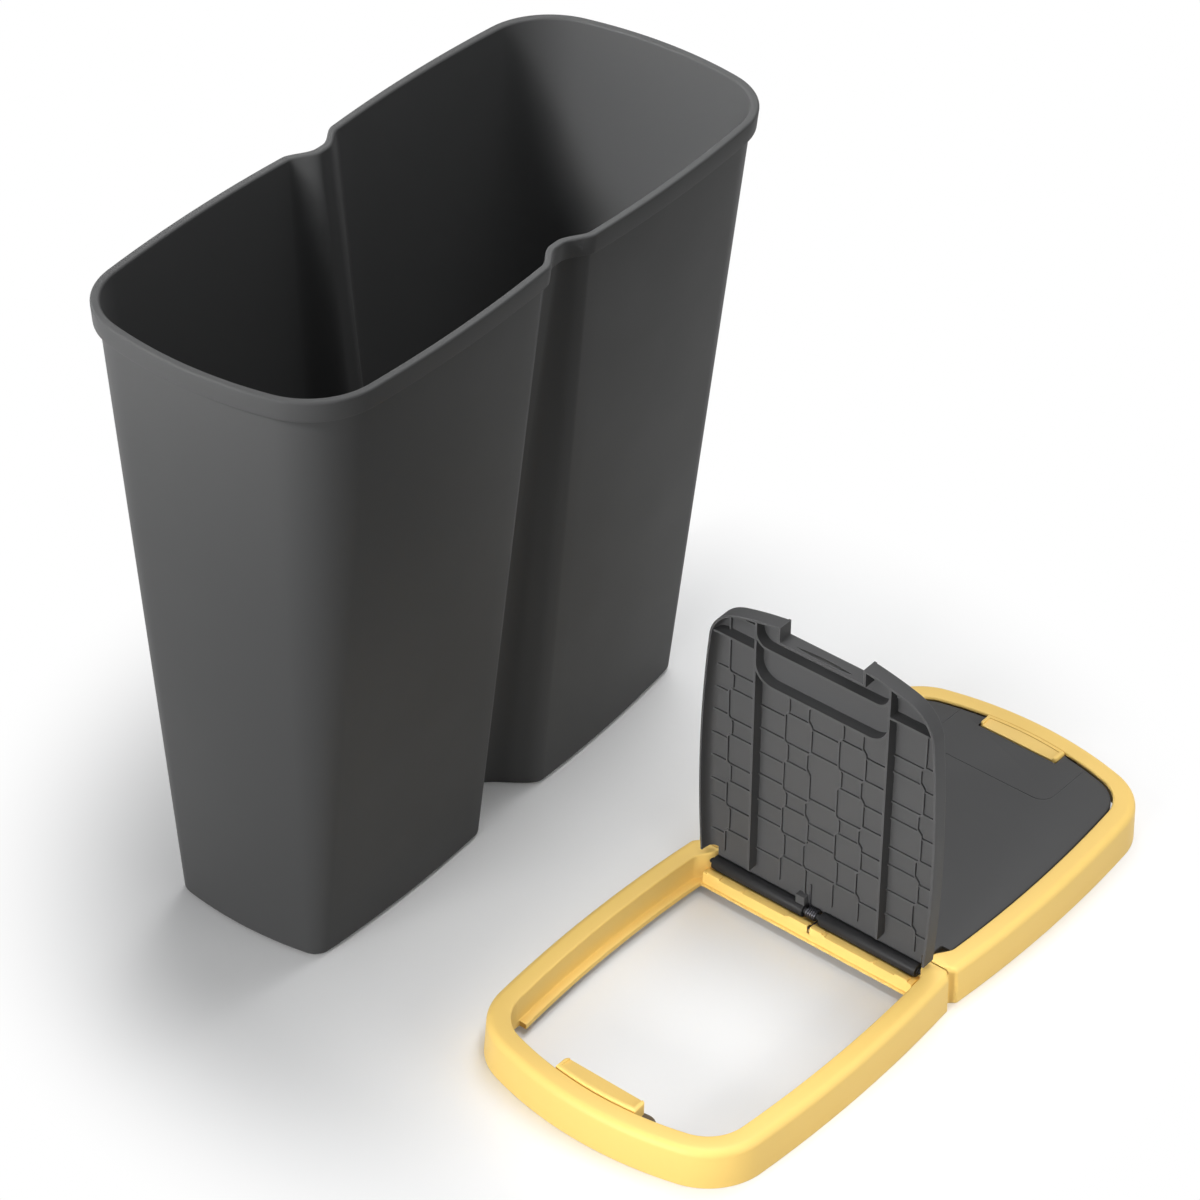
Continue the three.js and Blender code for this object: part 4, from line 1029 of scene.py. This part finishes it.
for side, place in HALVES.items():
    turn = Matrix.Rotation(-OPENED[side], 3, "Y")
    start = math.pi / 2 + OPENED[side]
    end = 2 * math.pi * TURNS + 1.5 * math.pi
    leg_y = coil_point(start, end).y
    leg_z = PLATE_UNDER - 0.3 - WIRE
    leg = [turn @ Vector((x, leg_y, z)) for x, z in ((24, leg_z), (12, leg_z), (8, leg_z),
                                                    (4, mix(leg_z, COIL, 0.4)))]
    steps = round((end - start) / (2 * math.pi) * TURN_STEPS)
    coil = [coil_point(mix(start, end, i / steps), end) for i in range(steps + 1)]
    line = bend([*leg, coil[0]]) + coil[1:]
    wire_piece(line, f"hinge_spring_{side}_coil", f"flap_{side}", place @ HINGE,
               [f"hinge_spring_{side}"])
    # the last part of the coil stays with the crossbar when the flap turns
    rest = [coil_point(mix(end - 2, end, i / 10), end, COIL - FOOT_INSET) for i in range(11)]
    foot = rest + [Vector((x, SPRING_Y, -COIL + FOOT_INSET)) for x in (2, 6, 11.5)]
    wire_piece(foot, f"hinge_spring_{side}_foot", "lid", place @ HINGE)

# ------------------------------------------------------------------ floor, light and camera

AMBIENT = 0.22
FLOOR_RADIUS, FLOOR_MIDDLE_Y, FLOOR_Z = 9, -0.15, -0.0002
FLOOR_SEEN, FLOOR_BOUNCE = 0.98, 0.25  # the floor's own white, and what it throws back
FLOOR_FADE = (0.3, 0.48)  # where its shadows fade into the white background
LIGHTS = [  # name, place, target, size in metres, watts, spread in degrees
    ("key", (-2.0, 0.15, 0.38), (-0.1, -0.1, 0.2), (1.0, 0.6), 28, 180),
    ("top", (0.75, 0.0, 2.2), (0, -0.15, 0), (1.4, 1.4), 31, 180),
    ("front", (0.1, -1.1, 0.3), (0.05, -0.46, 0), (0.9, 0.3), 0.9, 80),
    ("inside", (-0.95, 0.35, 1.15), (0.25, -0.08, 0.46), (0.25, 0.25), 1.5, 36),
    ("fill", (-0.95, -0.5, 0.35), (0, -0.38, 0.13), (0.3, 0.3), 0.27, 30),
    ("left", (-0.3, -0.62, 1.2), (-0.13, -0.36, 0.02), (0.2, 0.2), 0.09, 24),
]
LENS = 129.26
CAMERA_PLACE = (-2.01236, -1.55117, 2.0519)
CAMERA_RIGHT, CAMERA_UP = (0.58776, -0.80862, 0.026), (0.46998, 0.36743, 0.80257)


def seen_directly(tree):
    """1 on the rays that show the background itself or its reflection."""
    path = tree.nodes.new("ShaderNodeLightPath")
    first = maths(tree, "MAXIMUM", path.outputs["Is Camera Ray"], path.outputs["Is Glossy Ray"])
    return maths(tree, "MAXIMUM", first, path.outputs["Is Transmission Ray"])


def make_floor():
    """A white floor that keeps the shadows near the object and fades into the background."""
    bm = bmesh.new()
    bmesh.ops.create_circle(bm, cap_ends=True, segments=64, radius=FLOOR_RADIUS)
    bmesh.ops.translate(bm, verts=bm.verts, vec=(0, FLOOR_MIDDLE_Y, FLOOR_Z))
    mesh = bpy.data.meshes.new("floor")
    bm.to_mesh(mesh)
    bm.free()
    material = bpy.data.materials.new("white_floor")
    material.use_nodes = True
    tree = material.node_tree
    tree.nodes.remove(tree.nodes["Principled BSDF"])
    diffuse = tree.nodes.new("ShaderNodeBsdfDiffuse")
    seen = seen_directly(tree)
    tree.links.new(maths(tree, "MULTIPLY_ADD", seen, FLOOR_SEEN - FLOOR_BOUNCE, FLOOR_BOUNCE),
                   diffuse.inputs["Color"])
    white = tree.nodes.new("ShaderNodeEmission")
    where = tree.nodes.new("ShaderNodeTexCoord")
    centre = tree.nodes.new("ShaderNodeMapping")
    centre.inputs["Location"].default_value = (0, -FLOOR_MIDDLE_Y, 0)
    tree.links.new(where.outputs["Object"], centre.inputs["Vector"])
    length = tree.nodes.new("ShaderNodeVectorMath")
    length.operation = "LENGTH"
    tree.links.new(centre.outputs["Vector"], length.inputs[0])
    fade = tree.nodes.new("ShaderNodeMapRange")
    fade.interpolation_type = "SMOOTHSTEP"
    fade.inputs["From Min"].default_value, fade.inputs["From Max"].default_value = FLOOR_FADE
    tree.links.new(length.outputs["Value"], fade.inputs["Value"])
    blend = tree.nodes.new("ShaderNodeMixShader")
    tree.links.new(maths(tree, "MULTIPLY", fade.outputs["Result"], seen), blend.inputs["Fac"])
    tree.links.new(diffuse.outputs[0], blend.inputs[1])
    tree.links.new(white.outputs[0], blend.inputs[2])
    tree.links.new(blend.outputs[0], tree.nodes["Material Output"].inputs["Surface"])
    mesh.materials.append(material)
    floor = bpy.data.objects.new("floor", mesh)
    bpy.context.scene.collection.objects.link(floor)


def make_world():
    """A dim even glow on the object, and plain white behind it."""
    world = bpy.data.worlds.new("studio")
    bpy.context.scene.world = world
    world.use_nodes = True
    tree = world.node_tree
    glow = tree.nodes["Background"]
    glow.inputs["Color"].default_value = (0.96, 0.98, 1.0, 1)
    glow.inputs["Strength"].default_value = AMBIENT
    white = tree.nodes.new("ShaderNodeBackground")
    white.inputs["Color"].default_value = (1, 1, 1, 1)
    blend = tree.nodes.new("ShaderNodeMixShader")
    tree.links.new(seen_directly(tree), blend.inputs["Fac"])
    tree.links.new(glow.outputs[0], blend.inputs[1])
    tree.links.new(white.outputs[0], blend.inputs[2])
    tree.links.new(blend.outputs[0], tree.nodes["World Output"].inputs["Surface"])


def soft_light(name, place, target, size, power, spread):
    """A lamp with a rectangular face, turned towards its target."""
    data = bpy.data.lights.new(name, "AREA")
    data.shape = "RECTANGLE"
    data.size, data.size_y = size
    data.energy = power
    data.spread = math.radians(spread)
    lamp = bpy.data.objects.new(name, data)
    lamp.location = place
    lamp.visible_camera = False
    lamp.rotation_euler = (Vector(target) - Vector(place)).to_track_quat("-Z", "Y").to_euler()
    bpy.context.scene.collection.objects.link(lamp)


def make_camera():
    data = bpy.data.cameras.new("camera")
    data.sensor_width = 36
    data.lens = LENS
    data.clip_end = 50
    camera = bpy.data.objects.new("camera", data)
    right, up = Vector(CAMERA_RIGHT), Vector(CAMERA_UP)
    turn = Matrix((right, up, right.cross(up))).transposed().to_4x4()
    camera.matrix_world = Matrix.Translation(CAMERA_PLACE) @ turn
    bpy.context.scene.collection.objects.link(camera)
    bpy.context.scene.camera = camera


make_floor()
make_world()
for light in LIGHTS:
    soft_light(*light)
make_camera()
bpy.context.scene.view_settings.view_transform = "Standard"
